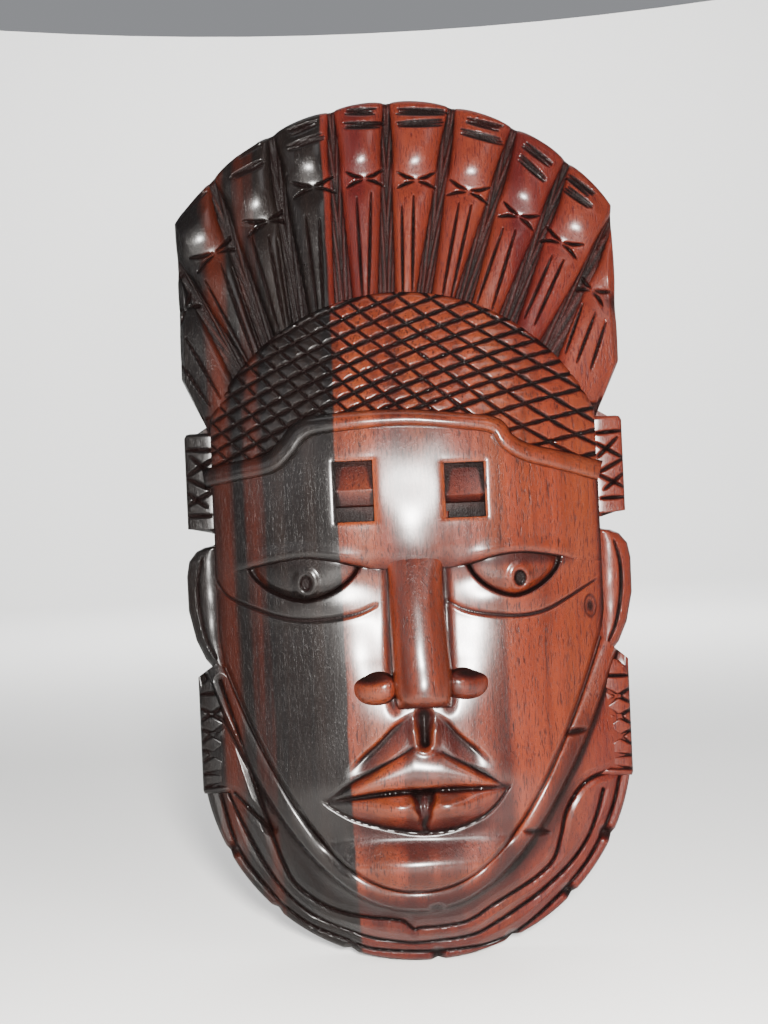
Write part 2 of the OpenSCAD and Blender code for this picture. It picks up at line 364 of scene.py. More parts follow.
# Outline's half width at each height, on the mask's own centre line
SIDE = [
    (71.5, 87.0), (73, 87.5), (112, 87.5), (116, 86.2), (118.5, 83.5), (120, 79.5), (121.5, 79.3),
    (123, 81.5), (126, 84), (134, 87.6), (146, 90.2), (160, 90.3), (166, 89.2), (170, 86), (171.6, 82.5),
    (172, 79.2),
    (178.4, 79.2), (179, 89), (216, 89), (217.8, 88), (218.4, 79.4), (219.5, 79.6), (240, 89),
]
CHIN_R = 87.5
CREST_R, CREST_Z, CREST_HALF, TOP_Z = 108.7, 241.3, 89.0, 350.0
CAP_R, CAP_Z = 86.2, 185.8
# Foot of the crest's edge, and top of the collar
CREST_FOOT, COLLAR_TOP = 219.5, 119.0
# Level where the hollow stops following the face and follows the forehead
BROW_LEVEL = 162
# Face and forehead: hidden top of the face, borders, half width, and middle line of nose and lips
FACE_TOP = 167.5
FACE_LEFT, FACE_RIGHT, FACE_HALF, MID_X = -76.9, 80.0, 78.5, 3.6
# The front falls away by SAG at the face's borders, by these powers of the distance from SAG_X
SAG, SAG_X, FACE_POWER, CAP_POWER, HOLLOW_SAG_POWER = 24.5, 2.0, 2.7, 2.3, 2.5
# Hollow of the back: half width, half height, middle, power of its outline, slope, and wood left before it
HOLLOW_HALF_X, HOLLOW_HALF_Z, HOLLOW_Z, HOLLOW_POWER, HOLLOW_SLOPE, HOLLOW_WALL = 61, 87, 134, 2.6, 4.2, 14.5

FACE_PROFILE = [
    (24, 41), (27, 43.5), (31, 46.4), (38, 47.8), (44, 46.2), (49, 45.0), (56, 46.2), (70, 47.5), (90, 46.6),
    (105, 45.8), (122, 45.2), (140, 44.6), (150, 44.9), (158, 45.8), (164, 46.8), (168, 47.3),
]
HEAD_PROFILE = [(156, 45.5), (164, 47.0), (175, 48), (190, 48.3), (205, 47.6), (218, 46), (232, 43.6)]
CAP_PROFILE = [(190, 48.5), (205, 47.5), (219, 46), (235, 42.4), (250, 37.6), (262, 32.6), (273, 27)]
BROW_LINE = [
    (-80, 160), (-66, 161.5), (-52, 164), (-40, 165), (-30, 163.5), (-20, 161), (-8, 159.5), (4, 159.5),
    (14, 159), (28, 160.2), (38, 162.8), (48, 163.6), (60, 162), (70, 160), (80, 159),
]
BAND_PATH = [
    (-80, 199.5), (-66, 202), (-53, 204.5), (-46, 210.5), (-40, 217), (-30, 219.6), (0, 220.8), (28, 218),
    (39, 215.6), (43.5, 209.5), (51, 204.6), (65, 200.5), (81, 195.6),
]


def half_width(z):
    """Half width of the outline: a round chin, the side blocks and ears, then the crest's arc."""
    z = np.asarray(z, dtype=float)
    chin = np.sqrt(np.clip(CHIN_R**2 - (CHIN_R - z) ** 2, 0, None))
    crest = np.minimum(CREST_HALF, np.sqrt(np.clip(CREST_R**2 - (z - CREST_Z) ** 2, 0, None)))
    at, side = np.array(SIDE).T
    return np.where(z < at[0], chin, np.where(z > at[-1], crest, np.interp(z, at, side)))


def sag(x, power):
    """How far the front falls away towards its sides."""
    return SAG * (np.abs(x - SAG_X) / FACE_HALF) ** power


def face_height(x, z):
    """Height of the face before its features: its profile less the sag."""
    return curve_at(z, FACE_PROFILE) - sag(x, FACE_POWER)


def head_height(x, z):
    """Height of the plain forehead."""
    return curve_at(z, HEAD_PROFILE) - sag(x, FACE_POWER)


def cap_height(x, z):
    """Height of the plain cap."""
    return curve_at(z, CAP_PROFILE) - sag(x, CAP_POWER)


def jaw_line(x):
    """Lower edge of the face: a power curve through the chin."""
    return 27 + 0.00717 * np.abs(x - 0.5) ** 2.2


def hollow_height(x, z, grow=0.0):
    """Height of the hollow's floor above the back; grow widens the hollow's mouth."""
    q = (np.abs(x - AXIS_X) / (HOLLOW_HALF_X + grow)) ** HOLLOW_POWER
    q = q + (np.abs(z - HOLLOW_Z) / (HOLLOW_HALF_Z + grow)) ** HOLLOW_POWER
    inside = (1 - np.clip(q, 0, 1) ** (1 / HOLLOW_POWER)) * HOLLOW_HALF_X
    profile = np.where(z < BROW_LEVEL, curve_at(z, FACE_PROFILE), curve_at(z, HEAD_PROFILE))
    front = profile - sag(x, HOLLOW_SAG_POWER)
    return np.clip(np.minimum(front - HOLLOW_WALL, HOLLOW_SLOPE * inside), 0, None)


def under(x, z):
    """Height of the hidden side of every front tile: just inside the plate and the hollow's shell."""
    return np.maximum(PLATE_H - 0.1, hollow_height(x, z, 4) + 2.5)


def carving():
    return bpy.context.scene.mask_carving


def finish():
    return bpy.context.scene.mask_finish


def wooden(obj):
    """Gives a carved piece its wood and puts it on the mask's body in the block's place."""
    obj.data.materials.append(wood_material())
    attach(obj, BODY)
    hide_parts(BLOCK)
    return obj


# ---------------------------------------------------------------- crest

# Each valley of the fan: x where it meets the cap, and its point on the outline
VALLEYS = [
    (-77, (-81, 220)), (-62, (-87.5, 289)), (-51, (-73, 323)), (-38, (-47, 340)), (-20, (-22, 348)),
    (-2.5, (1, 350)), (12, (28, 347)), (27, (53, 338)), (45, (73.5, 322)), (60, (88.5, 299)), (78, (82, 220)),
]
# Each rib's cross: centre, lean in degrees and half width, then the fine grooves below it
RIB_MARKS = [
    ((-84.5, 269), -42, 5.0, [((-85, 257), (-72, 232)), ((-88, 248), (-76.5, 229))]),
    ((-71.5, 291), -27, 9.5,
     [((-76, 280), (-60, 246)), ((-69.5, 287), (-57.5, 248)), ((-65, 285), (-55, 250))]),
    ((-49.5, 303), -16, 9.0,
     [((-56.5, 297), (-47, 258)), ((-49.5, 297), (-44.5, 260)), ((-46, 296), (-42.5, 262))]),
    ((-30.5, 316), -6, 8.0, [((-34, 304), (-31, 265)), ((-28.5, 303), (-28.5, 266))]),
    ((-9.5, 318.5), -1, 7.2, [((-13, 311), (-12.5, 269)), ((-7, 313), (-10, 269))]),
    ((11.5, 317), 3, 7.4, [((5.2, 307), (4, 270)), ((10.2, 311), (8, 272))]),
    ((32.5, 311.5), 14, 8.0, [((28.5, 307), (20, 269)), ((33.5, 306), (23.5, 268))]),
    ((52.5, 300.5), 24, 7.5, [((46, 296), (34, 266)), ((51, 295), (40, 263))]),
    ((69.5, 289), 29, 8.0, [((65.5, 284), (53, 259)), ((70, 282), (57, 256))]),
    ((81, 269), 32, 6.5, [((77, 264), (69, 244)), ((82, 260), (73.5, 240)), ((86, 256), (79, 237))]),
]
# Each rib's torn bars, as x and z of their two ends
BARS = [
    [(-89, 280, -85, 286)],
    [(-83.5, 309, -75, 316.5), (-80, 317, -75, 321)],
    [(-61, 330, -51.5, 335), (-63, 321.5, -50.5, 327)],
    [(-39, 338.5, -28, 342), (-40, 332.5, -26, 336.5)],
    [(-17, 340.4, -1.5, 340.2), (-16, 346.2, -4, 345.6)],
    [(5, 340, 23, 340), (5, 345.4, 25, 344)],
    [(31, 336, 47, 331), (33, 340.6, 47, 336.4)],
    [(54, 324.5, 64, 314.5), (56, 329.5, 67, 320.5)],
    [(72, 311, 82, 303), (73.5, 315.6, 82.5, 308)],
    [(80, 293, 85, 287), (83, 296, 86.5, 291)],
]


def crest_outline():
    """Points of the crest's edge from the left foot over the top to the right foot."""
    rise = np.linspace(CREST_FOOT, CREST_Z + math.sqrt(CREST_R**2 - CREST_HALF**2), 90)
    turn = np.linspace(math.asin(CREST_HALF / CREST_R), 0, 120)
    right = np.concatenate([
        np.stack([half_width(rise), rise], axis=-1),
        np.stack([CREST_R * np.sin(turn), CREST_Z + CREST_R * np.cos(turn)], axis=-1)[1:],
    ])
    left = right * [-1, 1]
    return np.concatenate([left, right[::-1][1:]]) + [AXIS_X, 0]


def fan(k, s):
    """Layout point of the fan: k counts valleys from the left, s goes from under the cap to the edge.

    It lies on the straight line from the cap's arc to the crest's edge, both shared out by valley.
    """
    edge = crest_outline()
    run = lengths(edge)
    marks = [run[np.argmin(np.hypot(edge[:, 0] - p[0], edge[:, 1] - p[1]))] for _, p in VALLEYS]
    marks[0], marks[-1] = 0.0, run[-1]
    count = np.arange(len(VALLEYS))
    inner_x = np.interp(k, count, [v[0] for v in VALLEYS])
    inner_z = CAP_Z + np.sqrt((CAP_R - 3.5) ** 2 - inner_x**2)
    place_on_edge = np.interp(k, count, marks)
    outer_x, outer_z = np.interp(place_on_edge, run, edge[:, 0]), np.interp(place_on_edge, run, edge[:, 1])
    return inner_x + (outer_x - inner_x) * s, inner_z + (outer_z - inner_z) * s


def cross_strokes(centre, lean, half):
    """Four leaf cuts that meet in a pinched centre, turned with the rib."""
    c, s = math.cos(math.radians(lean)), math.sin(math.radians(lean))
    for side in (-1, 1):
        for up in (-1, 1):
            ends = [(side * 0.7, up * 0.5), (side * half * 0.55, up * 1.3), (side * half * 1.08, up * 3.4)]
            yield [(centre[0] + u * c + v * s, centre[1] - u * s + v * c) for u, v in ends]


def rib(i):
    """One rib of the fan: a round that stands between two V valleys, then its gouged marks."""
    s, f = lattice(264, 78 if i in (0, len(RIB_MARKS) - 1) else 72)
    x, z = fan(i + f, s * (1 - 0.005 * np.abs(2 * f - 1) ** 3))
    across = np.abs(2 * f - 1)
    body = 0.60 + 0.18 * ramp(0.0, 0.6, s) + 0.1 * ramp(0.7, 1.0, s)
    round_ = np.sqrt(np.clip(1 - (across / body) ** 2.2, 0, 1))
    ground = np.clip((across - body) / (1 - body), 0, 1)
    rise = carving().rib_rise / MM * (0.82 + 0.18 * s - 0.5 * ramp(0.88, 1.0, s))
    h = 17.8 - 4.4 * s**0.8 + rise * round_ - 0.7 * ground * ramp(1.0, 0.9, s)
    scored = 0.5 + 0.5 * np.cos(across * np.interp(s, [0, 1], [30, 48]) + 2 * np.sin(z / 17))
    h -= 0.35 * scored * ramp(0.02, 0.3, ground)
    cut = (0.55 + 0.35 * scored) * ramp(0.0, 0.25, ground) + 0.3 * fade(np.abs(across - body) / 0.06)
    cut = np.maximum(cut, 0.9 * fade((1 - across) / 0.07))
    h += 0.12 * facets(x, z, 9, i)
    centre, lean, half, grooves = RIB_MARKS[i]
    turn = math.radians(lean)
    lift = (x - centre[0]) * math.sin(turn) + (z - centre[1]) * math.cos(turn)
    h -= round_ * (2.4 * bell(lift / 5.6) - 0.8 * bell((lift - 13) / 7))
    for stroke in cross_strokes(centre, lean, half):
        gouge(h, cut, x, z, stroke, 2.1, 1.7, leaf=0.75)
    for line in grooves:
        gouge(h, cut, x, z, line, 2.0, 1.4, leaf=0.5)
    for j, (ax, az, bx, bz) in enumerate(BARS[i]):
        rough_bar(h, cut, x, z, (ax, az), (bx, bz), 10 * i + j + RNG_SEED)
    h -= arris((1 - s) * 75, 2.2, 2.15)
    return wooden(tile(f"crest_rib_{i + 1}", x, z, h, under(x, z), cut))


# ---------------------------------------------------------------- cap and brow band

# Levels of the net's rising cuts, read where they cross the centre line
NET_LEVELS = [
    181, 190.4, 199.6, 208.4, 215.6, 221.6, 226.9, 232.6, 238.6, 244.8, 250.8, 257, 263.4, 270, 276, 282,
]


def band_z(x):
    """Height of the brow band's middle line at x."""
    return level_of(smooth_line(BAND_PATH), x)


def net_cap():
    """Domed cap with a net of V cuts: rising lines of one bow and falling lines of another."""
    settings = carving()
    v, u = lattice(192, 480, -1)
    x = AXIS_X + 78.2 * u
    top = CAP_Z + np.sqrt(CAP_R**2 - (x - 0.8) ** 2)
    low = band_z(x) - 1.5
    z = low + (top - low) * v
    h = cap_height(x, z)
    step = settings.net_step / MM
    level = z - 0.37 * x + 0.0012 * x**2
    gap = np.abs(level[..., None] - np.array(NET_LEVELS)).min(axis=-1) / np.hypot(1, 0.37 - 0.0024 * x)
    fall = (z + 0.83 * x - 0.0016 * x**2 - 0.9 * np.sin(z / 9)) / step
    other = np.abs(fall - np.round(fall)) * step / 1.28
    wobble = 1 + 0.15 * np.sin(x * 0.9 + z * 0.5) + 0.12 * np.sin(x * 0.31 - z * 0.7)
    rising = fade(gap / (1.35 * wobble))
    falling = fade(other / (1.1 * wobble))
    pillow = np.minimum(np.clip(gap / 2.6, 0, 1), np.clip(other / 3.4, 0, 1))
    h += 0.55 * np.sqrt(pillow) + 0.1 * facets(x, z, 5, 31) - 0.5
    depth = settings.net_depth / MM
    h -= np.maximum(depth * rising, 0.85 * depth * falling)
    cut = np.maximum(np.clip(1.4 * rising, 0, 1), np.clip(1.3 * falling, 0, 1))
    drop = (top - z) * np.sin(np.arctan2(top - CAP_Z, np.abs(x) + 1e-3))
    h -= 1.8 * fade(drop / 2.0) ** 2
    return wooden(tile("net_cap", x, z, h, under(x, z), cut))


def brow_band():
    """Rounded moulding carried along the brow: a half-round section set on the forehead."""
    line = smooth_line(BAND_PATH, 40)
    rows, cols = lattice_shape(480, 30)
    at, cx, cz = spaced(line, rows)
    tx, tz = np.gradient(cx), np.gradient(cz)
    size = np.hypot(tx, tz)
    t = np.linspace(-1, 1, cols)[None, :]
    half = (3.9 + 0.35 * np.sin(at / 23))[:, None]
    x = cx[:, None] - half * t * (tz / size)[:, None]
    z = cz[:, None] + half * t * (tx / size)[:, None]
    h = head_height(x, z) - 1.2 + carving().band_rise / MM * fade(np.abs(t) ** 2.4) ** 0.55
    h += 0.12 * facets(x, z, 8, 12)
    cut = np.clip((np.abs(t) - 0.8) * 4, 0, 1) * np.ones_like(h)
    return wooden(tile("brow_band", x, z, h, under(x, z), cut))


# ---------------------------------------------------------------- forehead and face

# Sunk tabs in the forehead: left, right, bottom, top, and the height of the wedge's ridge
TABS = [(-27.2, -11.6, 179.4, 204, 192), (17.6, 33.8, 179.4, 201.6, 188.6)]
# Levels between which the forehead's rows run straight across
HEAD_LOW, HEAD_HIGH = 168.0, 206.5


def snapped(values, marks, gap=0.05):
    """Moves the nearest grid lines onto each mark and just beside it, so that a step there is upright."""
    values = values.copy()
    for mark in marks:
        i = np.argmin(np.abs(values - mark))
        values[i] = mark - gap
        values[i + 1] = mark + gap
    return values


def forehead():
    """Forehead above the brow line: a barrel with two sunk tabs, each with a roof-shaped wedge in it."""
    rows, cols = lattice_shape(156, 372)
    across = snapped(np.linspace(FACE_LEFT, FACE_RIGHT, cols), [edge for tab in TABS for edge in tab[:2]])
    low_at = curve_at(across, BROW_LINE)
    top_at = band_z(across)
    split_at = np.minimum(HEAD_HIGH, HEAD_LOW + (top_at - HEAD_LOW) * 0.8)
    v = np.linspace(0, 1, rows)
    x = np.broadcast_to(across, (rows, cols)).copy()
    knots = zip(low_at, np.full(cols, HEAD_LOW), split_at, top_at)
    z = np.stack([np.interp(v, [0, 0.15, 0.85, 1], column) for column in knots], axis=1)
    h = head_height(x, z)
    cut = np.zeros_like(h)
    for left, right, low, high, ridge in TABS:
        inside = (x > left) & (x < right) & (z > low) & (z < high)
        dx = np.maximum(left - x, x - right)
        dz = np.maximum(low - z, z - high)
        away = np.hypot(np.maximum(dx, 0), np.maximum(dz, 0))
        h -= np.where(inside, 0, 0.9 * np.exp(-away / 0.9))
        depth = np.interp(z, [low, low + 5.8, low + 6.2, ridge, high], [6.6, 6.2, 5.2, 2.6, 6.0])
        h -= np.where(inside, depth, 0)
        # Painted shade in each sunk tab: darkest on the wedge's lower facet, less under its top edge,
        # lightest at the ridge, and dark down its sunk sides
        cut = np.where(inside, np.interp(z, [low, low + 6, ridge, high], [0.95, 0.75, 0.25, 0.6]), cut)
        cut = np.maximum(cut, np.where(inside, fade(-dx / 1.2), 0))
    brow = z - low_at[None, :]
    lid = np.zeros_like(h)
    for cx, _, rx, _, _ in EYES:
        lid = np.maximum(lid, ramp(rx + 9, rx - 2, np.abs(x - cx)))
    h -= 1.5 * lid * fade(brow / 2.0) ** 2
    h += 0.9 * lid * bell((brow - 3.2) / 3.0)
    cut = np.maximum(cut, 0.9 * lid * np.clip(1.4 - brow, 0, 1))
    h -= mound(x, z, -18, 160, 14, 8, 1.2) + mound(x, z, 23, 160, 14, 8, 1.2)
    h += mound(x, z, 3.5, 167, 17, 26, 1.4)
    h -= 1.4 * ramp(20, 12, np.abs(x - 3.5)) * fade(brow / 5) ** 2
    # Painted shade across the brow above the nose root, fading upwards and outwards
    cut = np.maximum(cut, 0.42 * ramp(46, 12, np.abs(x - 3.5)) * fade(brow / 9))
    h += 0.16 * facets(x, z, 14, 3)
    return wooden(tile("forehead", x, z, h, under(x, z), cut))


# Each eye: middle, radii, and the place of its pupil. A power under 2 draws its corners to points
EYES = [(-41, 162.5, 22.5, 14.6, (-40.5, 155.0)), (44.2, 161.3, 18.8, 14.8, (46.6, 153.6))]
EYE_POWER = 1.6
# Share of its socket that an eyeball fills
EYE_SHARE = 0.965
EYE_BAGS = [
    [(-77, 158), (-72, 151), (-60, 145), (-50, 141.4), (-40, 140), (-30, 140.4), (-20, 142), (-12.5, 145)],
    [(16.5, 145.6), (24, 141.6), (34, 139.4), (46, 138.4), (56, 140), (65, 144.4), (77, 151.5)],
]
UPPER_LIP = [
    [(-36, 66), (-26, 73), (-16, 78), (-8, 82), (0, 86.4)],
    [(12, 84), (20, 79.4), (28, 75), (35, 70.4), (37.5, 69)],
]
MOUTH = [(-37, 65.6), (-25, 67), (-10, 68.4), (4, 68.8), (22, 69), (38.5, 69)]
LOWER_LIP = [(-35.5, 64.5), (-26, 58.6), (-14, 54.6), (0, 52), (14, 52.4), (26, 56.6), (33, 62), (38, 68.6)]
FOLDS = [
    [(-29, 76), (-22, 82), (-14, 88.5), (-7, 95), (3, 101)],
    [(7, 101), (14, 96), (19.5, 90), (27, 83.5), (34, 77)],
]


def lips(h, cut, x, z):
    """Raised lips either side of the mouth line, with two round halves below it."""
    upper = np.concatenate([smooth_line(UPPER_LIP[0]), smooth_line(UPPER_LIP[1])])
    mouth, lower = smooth_line(MOUTH), smooth_line(LOWER_LIP)
    top, split, foot = (level_of(line, x) for line in (upper, mouth, lower))
    width = (x > -36.5) & (x < 38)
    above = np.clip((z - split) / np.maximum(top - split, 0.5), 0, 1)
    in_upper = width & (z > split) & (z < top)
    taper = ramp(-37, -22, x) * ramp(39, 26, x)
    h += np.where(in_upper, 3.1 * np.sin(np.pi * above**0.8) ** 0.6 * taper, 0)
    below = np.clip((split - z) / np.maximum(split - foot, 0.5), 0, 1)
    in_lower = width & (z < split) & (z > foot)
    taper = ramp(-36, -16, x) * ramp(38, 22, x)
    h += np.where(in_lower, 2.8 * np.sin(np.pi * below**0.9) * taper, 0)
    halves = mound(x, z, -6, 61, 12, 10, 3.0) + mound(x, z, 13.5, 61, 12, 10, 3.0)
    h += np.where(in_lower, halves * np.sin(np.pi * below), 0)
    notch = np.abs(x - MID_X - 0.3 * np.sin(z)) - 4.4 * np.clip((z - 51.5) / 15, 0, 1)
    deep = in_lower * ramp(1.6, -1.6, notch)
    h -= 3.6 * deep
    h += in_lower * 0.9 * fade(np.abs(x - MID_X) / 1.6) * deep
    cut[:] = np.maximum(cut, 0.55 * deep)
    for line in UPPER_LIP:
        gouge(h, cut, x, z, smooth_line(line), 1.7, 1.2, leaf=0.2)
    gouge(h, cut, x, z, mouth, 2.8, 2.2, leaf=0.4)
    gouge(h, cut, x, z, lower, 2.2, 1.2, leaf=0.2)
    # Painted shade in the soft hollow under the lower lip
    cut[:] = np.maximum(cut, 0.6 * dip(h, x, z, lower - [0, 2.0], 5.5, 0.8))


def sockets(h, cut, x, z):
    """Eye sockets sunk under the brow, with a cut line round each eye and another under its bag."""
    for i, (cx, cz, rx, rz, _) in enumerate(EYES):
        q = (np.abs((x - cx) / rx) ** EYE_POWER + np.abs((z - cz) / rz) ** EYE_POWER) ** (1 / EYE_POWER)
        h += mound(x, z, cx, 147, 30, 9, 1.3)
        h -= 4.0 * ramp(1.05, 0.95, q)
        cut[:] = np.maximum(cut, np.clip(1.3 - np.abs(q - 0.98) / 0.10, 0, 1) * (z < cz + 4))
        gouge(h, cut, x, z, smooth_line(EYE_BAGS[i]), 2.3, 1.6, leaf=0.45)


def face():
    """Face below the brow: a barrel with sockets, folds, lips and chin worked into its height."""
    v, u = lattice(264, 348)
    x = FACE_LEFT + (FACE_RIGHT - FACE_LEFT) * u
    low = jaw_line(x)
    z = low + (FACE_TOP - low) * v
    h = face_height(x, z)
    cut = np.zeros_like(h)
    crease = bell((np.abs(x - 4.4) - 11.6) / 1.9) * ramp(98, 106, z)
    h -= 1.2 * crease
    # Painted shade in the crease where the nose meets each cheek
    cut = np.maximum(cut, 0.75 * crease)
    h -= 3.0 * bell((np.abs(x - MID_X) - 9) / 15) * ramp(96, 122, z)
    for cx in (-24, 29):
        h -= mound(x, z, cx, 161, 30, 40, 3.2)
    h += 0.25 * facets(x, z, 15, 5)
    sockets(h, cut, x, z)
    h += mound(x, z, 1, 36, 30, 17, 2.2)
    shade = curve_at(x, BROW_LINE) - z
    # Painted shade under the brow's overhang, across the eyes
    cut = np.maximum(cut, 0.55 * fade(shade / 4.5) * ramp(74, 62, np.abs(x)))
    for line in FOLDS:
        curve = smooth_line(line)
        beneath = (level_of(curve, x) - z) * 0.75
        ends = ramp(curve[0, 0], curve[0, 0] + 12, x) * ramp(curve[-1, 0], curve[-1, 0] - 12, x)
        share = np.where(beneath > 0, fade(beneath / 8.5), fade(-beneath))
        h -= 3.0 * ends * share
        cut = np.maximum(cut, 0.8 * ends * fade(np.abs(beneath - 0.4) / 1.4))
        # Painted shade over the sunk facet under each fold
        cut = np.maximum(cut, 0.62 * np.sqrt(ends * share) * (beneath > 0))
    lips(h, cut, x, z)
    slot = np.hypot(x - 5.0, z - np.clip(z, 88.5, 99))
    wide = 2.4 + 1.6 * ramp(88, 99, z)
    h += bell((slot - wide - 1.6) / 1.3) * ramp(97, 93, z)
    h -= 4.4 * fade(slot / wide) ** 0.7
    cut = np.maximum(cut, 0.95 * np.clip(1.6 - 1.6 * slot / wide, 0, 1))
    knot = np.hypot((x - 74.5) / 2.6, (z - 141) / 4.8)
    h -= 0.8 * ramp(1.0, 0.3, knot)
    cut = np.maximum(cut, fade(np.abs(knot - 0.9) / 0.25) * 0.7 + 0.9 * ramp(0.55, 0.3, knot))
    h -= 3.0 * ramp(0.4, 2.0, -shade)
    h = blurred(h, 1)
    edge = (z - low) / np.hypot(1, 0.0158 * np.abs(x - 0.5) ** 1.2)
    h -= 1.8 * fade(edge / 1.6)
    cut = np.maximum(cut, 0.6 * fade(edge / 1.2))
    return wooden(tile("face", x, z, h, under(x, z), cut))


def eye(side):
    """Eyeball: an ellipsoid cap under the brow with a pupil drilled in a raised round."""
    cx, cz, rx, rz, pupil = EYES[side]
    r, x, z = polar_lattice(96, 132, (cx, cz), (EYE_SHARE * rx, EYE_SHARE * rz), 2 / EYE_POWER)
    base = face_height(x, z) - 5.2
    h = base + 5.4 * np.sqrt(np.clip(1 - 0.93 * r**2, 0, 1)) - 0.16 * np.clip(z - 154, 0, None)
    # Dark cut ring at the eyeball's rim, and painted shade over its upper part under the lid
    cut = 0.8 * ramp(0.9, 1.0, r) + 0.6 * ramp(cz - 4.5, cz + 0.5, z)
    d = np.hypot(1.3 * (x - pupil[0]), z - pupil[1])
    h += 0.9 * ramp(8.0, 4.5, d) - 2.1 * ramp(4.2, 1.6, d)
    cut = np.maximum(cut, 0.9 * ramp(4.0, 2.6, d))
    return wooden(disc_tile(f"eye_{SIDE_NAMES[side]}", x, z, h, base - 4, cut))


def disc_tile(name, x, z, h, floor, cut):
    """Closed cap from a polar grid whose rows go round and whose columns go in to a pole."""
    around, rings = x.shape[0] - 1, x.shape[1]
    top = place(x[:-1], z[:-1], h[:-1])
    pole = top[:, -1].mean(axis=0)
    rim = place(x[:-1, 0], z[:-1, 0], floor[:-1, 0])
    index = np.arange(around * rings).reshape(around, rings)
    index = np.concatenate([index, index[:1]])
    foot = np.arange(around) + around * rings
    foot = np.concatenate([foot, foot[:1]])
    tip, centre = around * rings + around, around * rings + around + 1
    points = np.concatenate([top.reshape(-1, 3), rim, [pole], [rim.mean(axis=0)]])
    fan_in = np.stack([index[:-1, -1], index[1:, -1], np.full(around, tip)], axis=-1)
    skirt = np.stack([foot[:-1], foot[1:], index[1:, 0], index[:-1, 0]], axis=-1)
    base = np.stack([foot[1:], foot[:-1], np.full(around, centre)], axis=-1)
    faces = [quads(index)[:, ::-1], fan_in, skirt, base]
    faces = faces if area_sign(x, z) < 0 else [f[:, ::-1] for f in faces]
    return new_mesh(name, points, faces, cut[:-1])


def area_sign(x, z):
    """Which way a polar grid turns: negative where going round is anticlockwise from the front."""
    across, up = x[:-1, 0] - x.mean(), z[:-1, 0] - z.mean()
    return -np.sign((across * np.diff(z[:, 0]) - up * np.diff(x[:, 0])).sum())


# Nose: level of its root and of its tip, then its middle line, half width and ridge by level
NOSE_ROOT, NOSE_TIP = 182.0, 102.4
NOSE_MIDDLE = [(102, 5.6), (120, 5.0), (140, 4.2), (168, 4.0), (182, 4.0)]
NOSE_HALF = [(102, 11.2), (112, 12.2), (125, 12.0), (145, 11.4), (160, 11.5), (172, 13.5), (182, 15)]
NOSE_RIDGE = [
    (102, 58.6), (106, 59.4), (120, 58.0), (140, 54.4), (152, 51.4), (160, 49.2), (168, 46.6), (182, 42.0),
]


def nose():
    """Half-round ridge of the nose, flat under the tip, carried on a slightly leaning line."""
    v, t = lattice(180, 60, -1)
    z = NOSE_ROOT - v * (NOSE_ROOT - NOSE_TIP)
    x = curve_at(z, NOSE_MIDDLE) + curve_at(z, NOSE_HALF) * np.sin(t * math.pi / 2)
    low = face_height(x, z) - 3.5
    h = low + (curve_at(z, NOSE_RIDGE) - low) * np.cos(t * math.pi / 2) ** 0.62
    h -= 3.4 * fade((z - NOSE_TIP) / 4.5) ** 2
    h += 0.12 * facets(x, z, 10, 9)
    # Painted shade down the nose's flanks and under its tip
    cut = 0.85 * ramp(0.74, 0.97, np.abs(t))
    cut = np.maximum(cut, 0.5 * fade((z - NOSE_TIP) / 0.8))
    return wooden(tile("nose", x, z, h, under(x, z), cut, sharp=50))


# Each nostril wing: middle and radii
WINGS = [(-14.8, 111.2, 9.6, 7.2), (24.0, 111.8, 9.6, 7.0)]


def nose_wing(side):
    """Nostril wing: a squared ellipsoid cap with a shallow thumb cut across its upper half."""
    cx, cz, rx, rz = WINGS[side]
    r, x, z = polar_lattice(60, 96, (cx, cz), (rx, rz), 0.9)
    base = face_height(x, z) - 3
    h = base + 7.8 * np.sqrt(fade(r**2.4)) - 0.26 * (np.abs(x - MID_X) - 19)
    scoop = mound(x, z, cx + 1.5 * np.sign(cx - MID_X), cz + 5.2, 0.9 * rx, 4.6, 1.0)
    h -= 2.8 * scoop
    # Painted shade round the wing's foot, in its thumb cut and over its upper half
    cut = 0.9 * ramp(0.82, 1.0, r) + 0.55 * np.clip(1.4 * scoop, 0, 1) + 0.4 * ramp(cz, cz + 4, z)
    return wooden(disc_tile(f"nose_wing_{SIDE_NAMES[side]}", x, z, h, base - 4, np.clip(cut, 0, 1)))


# ---------------------------------------------------------------- collar

# Cuts that part the rope rounds, drawn from right to left
ROPE_LINES = [
    [(80, 73.5), (72, 71), (66, 66), (61, 57.5), (58.5, 48), (55, 38.5), (48, 32), (40, 27), (30, 21.4),
     (20, 15.4), (10, 13.6), (0, 13.2), (-3, 12.8), (-8, 16.4), (-20, 18.2), (-30, 20.4), (-40, 24.8),
     (-50, 33), (-55, 42.5), (-59, 55), (-64, 72), (-70, 93), (-77, 117)],
    [(76.5, 66), (73, 55), (68.5, 45.5), (61, 36), (50, 26.4), (40, 19.6), (30, 13.6), (20, 9.2), (0, 7.2),
     (-10, 8), (-20, 10), (-30, 13.6), (-40, 18.2), (-50, 25.4), (-58, 35), (-64, 45), (-70, 57.5),
     (-76, 72)],
    [(83.5, 72), (81, 62), (77, 52), (70, 39.4), (61, 28.4), (50, 18.2), (40, 10.8), (30, 6.4), (20, 4.4),
     (0, 3.6), (-20, 5.6), (-30, 9.6), (-45, 16.6), (-55, 24.6), (-62, 32.6), (-70, 43.5),
     (-75, 55), (-79, 72)],
    [(-59, 56), (-65, 62), (-73, 71)],
]
VALLEY_LINE = [
    (78.5, 119), (73, 101), (68, 88), (61.5, 70), (57, 60), (51, 50), (42.5, 40.5), (31, 30), (20, 23.4),
    (10, 20.2), (0, 19.4), (-12, 20.2), (-24, 23.2), (-36, 30), (-46, 41), (-55, 57), (-62, 74), (-69, 96),
    (-76, 119),
]
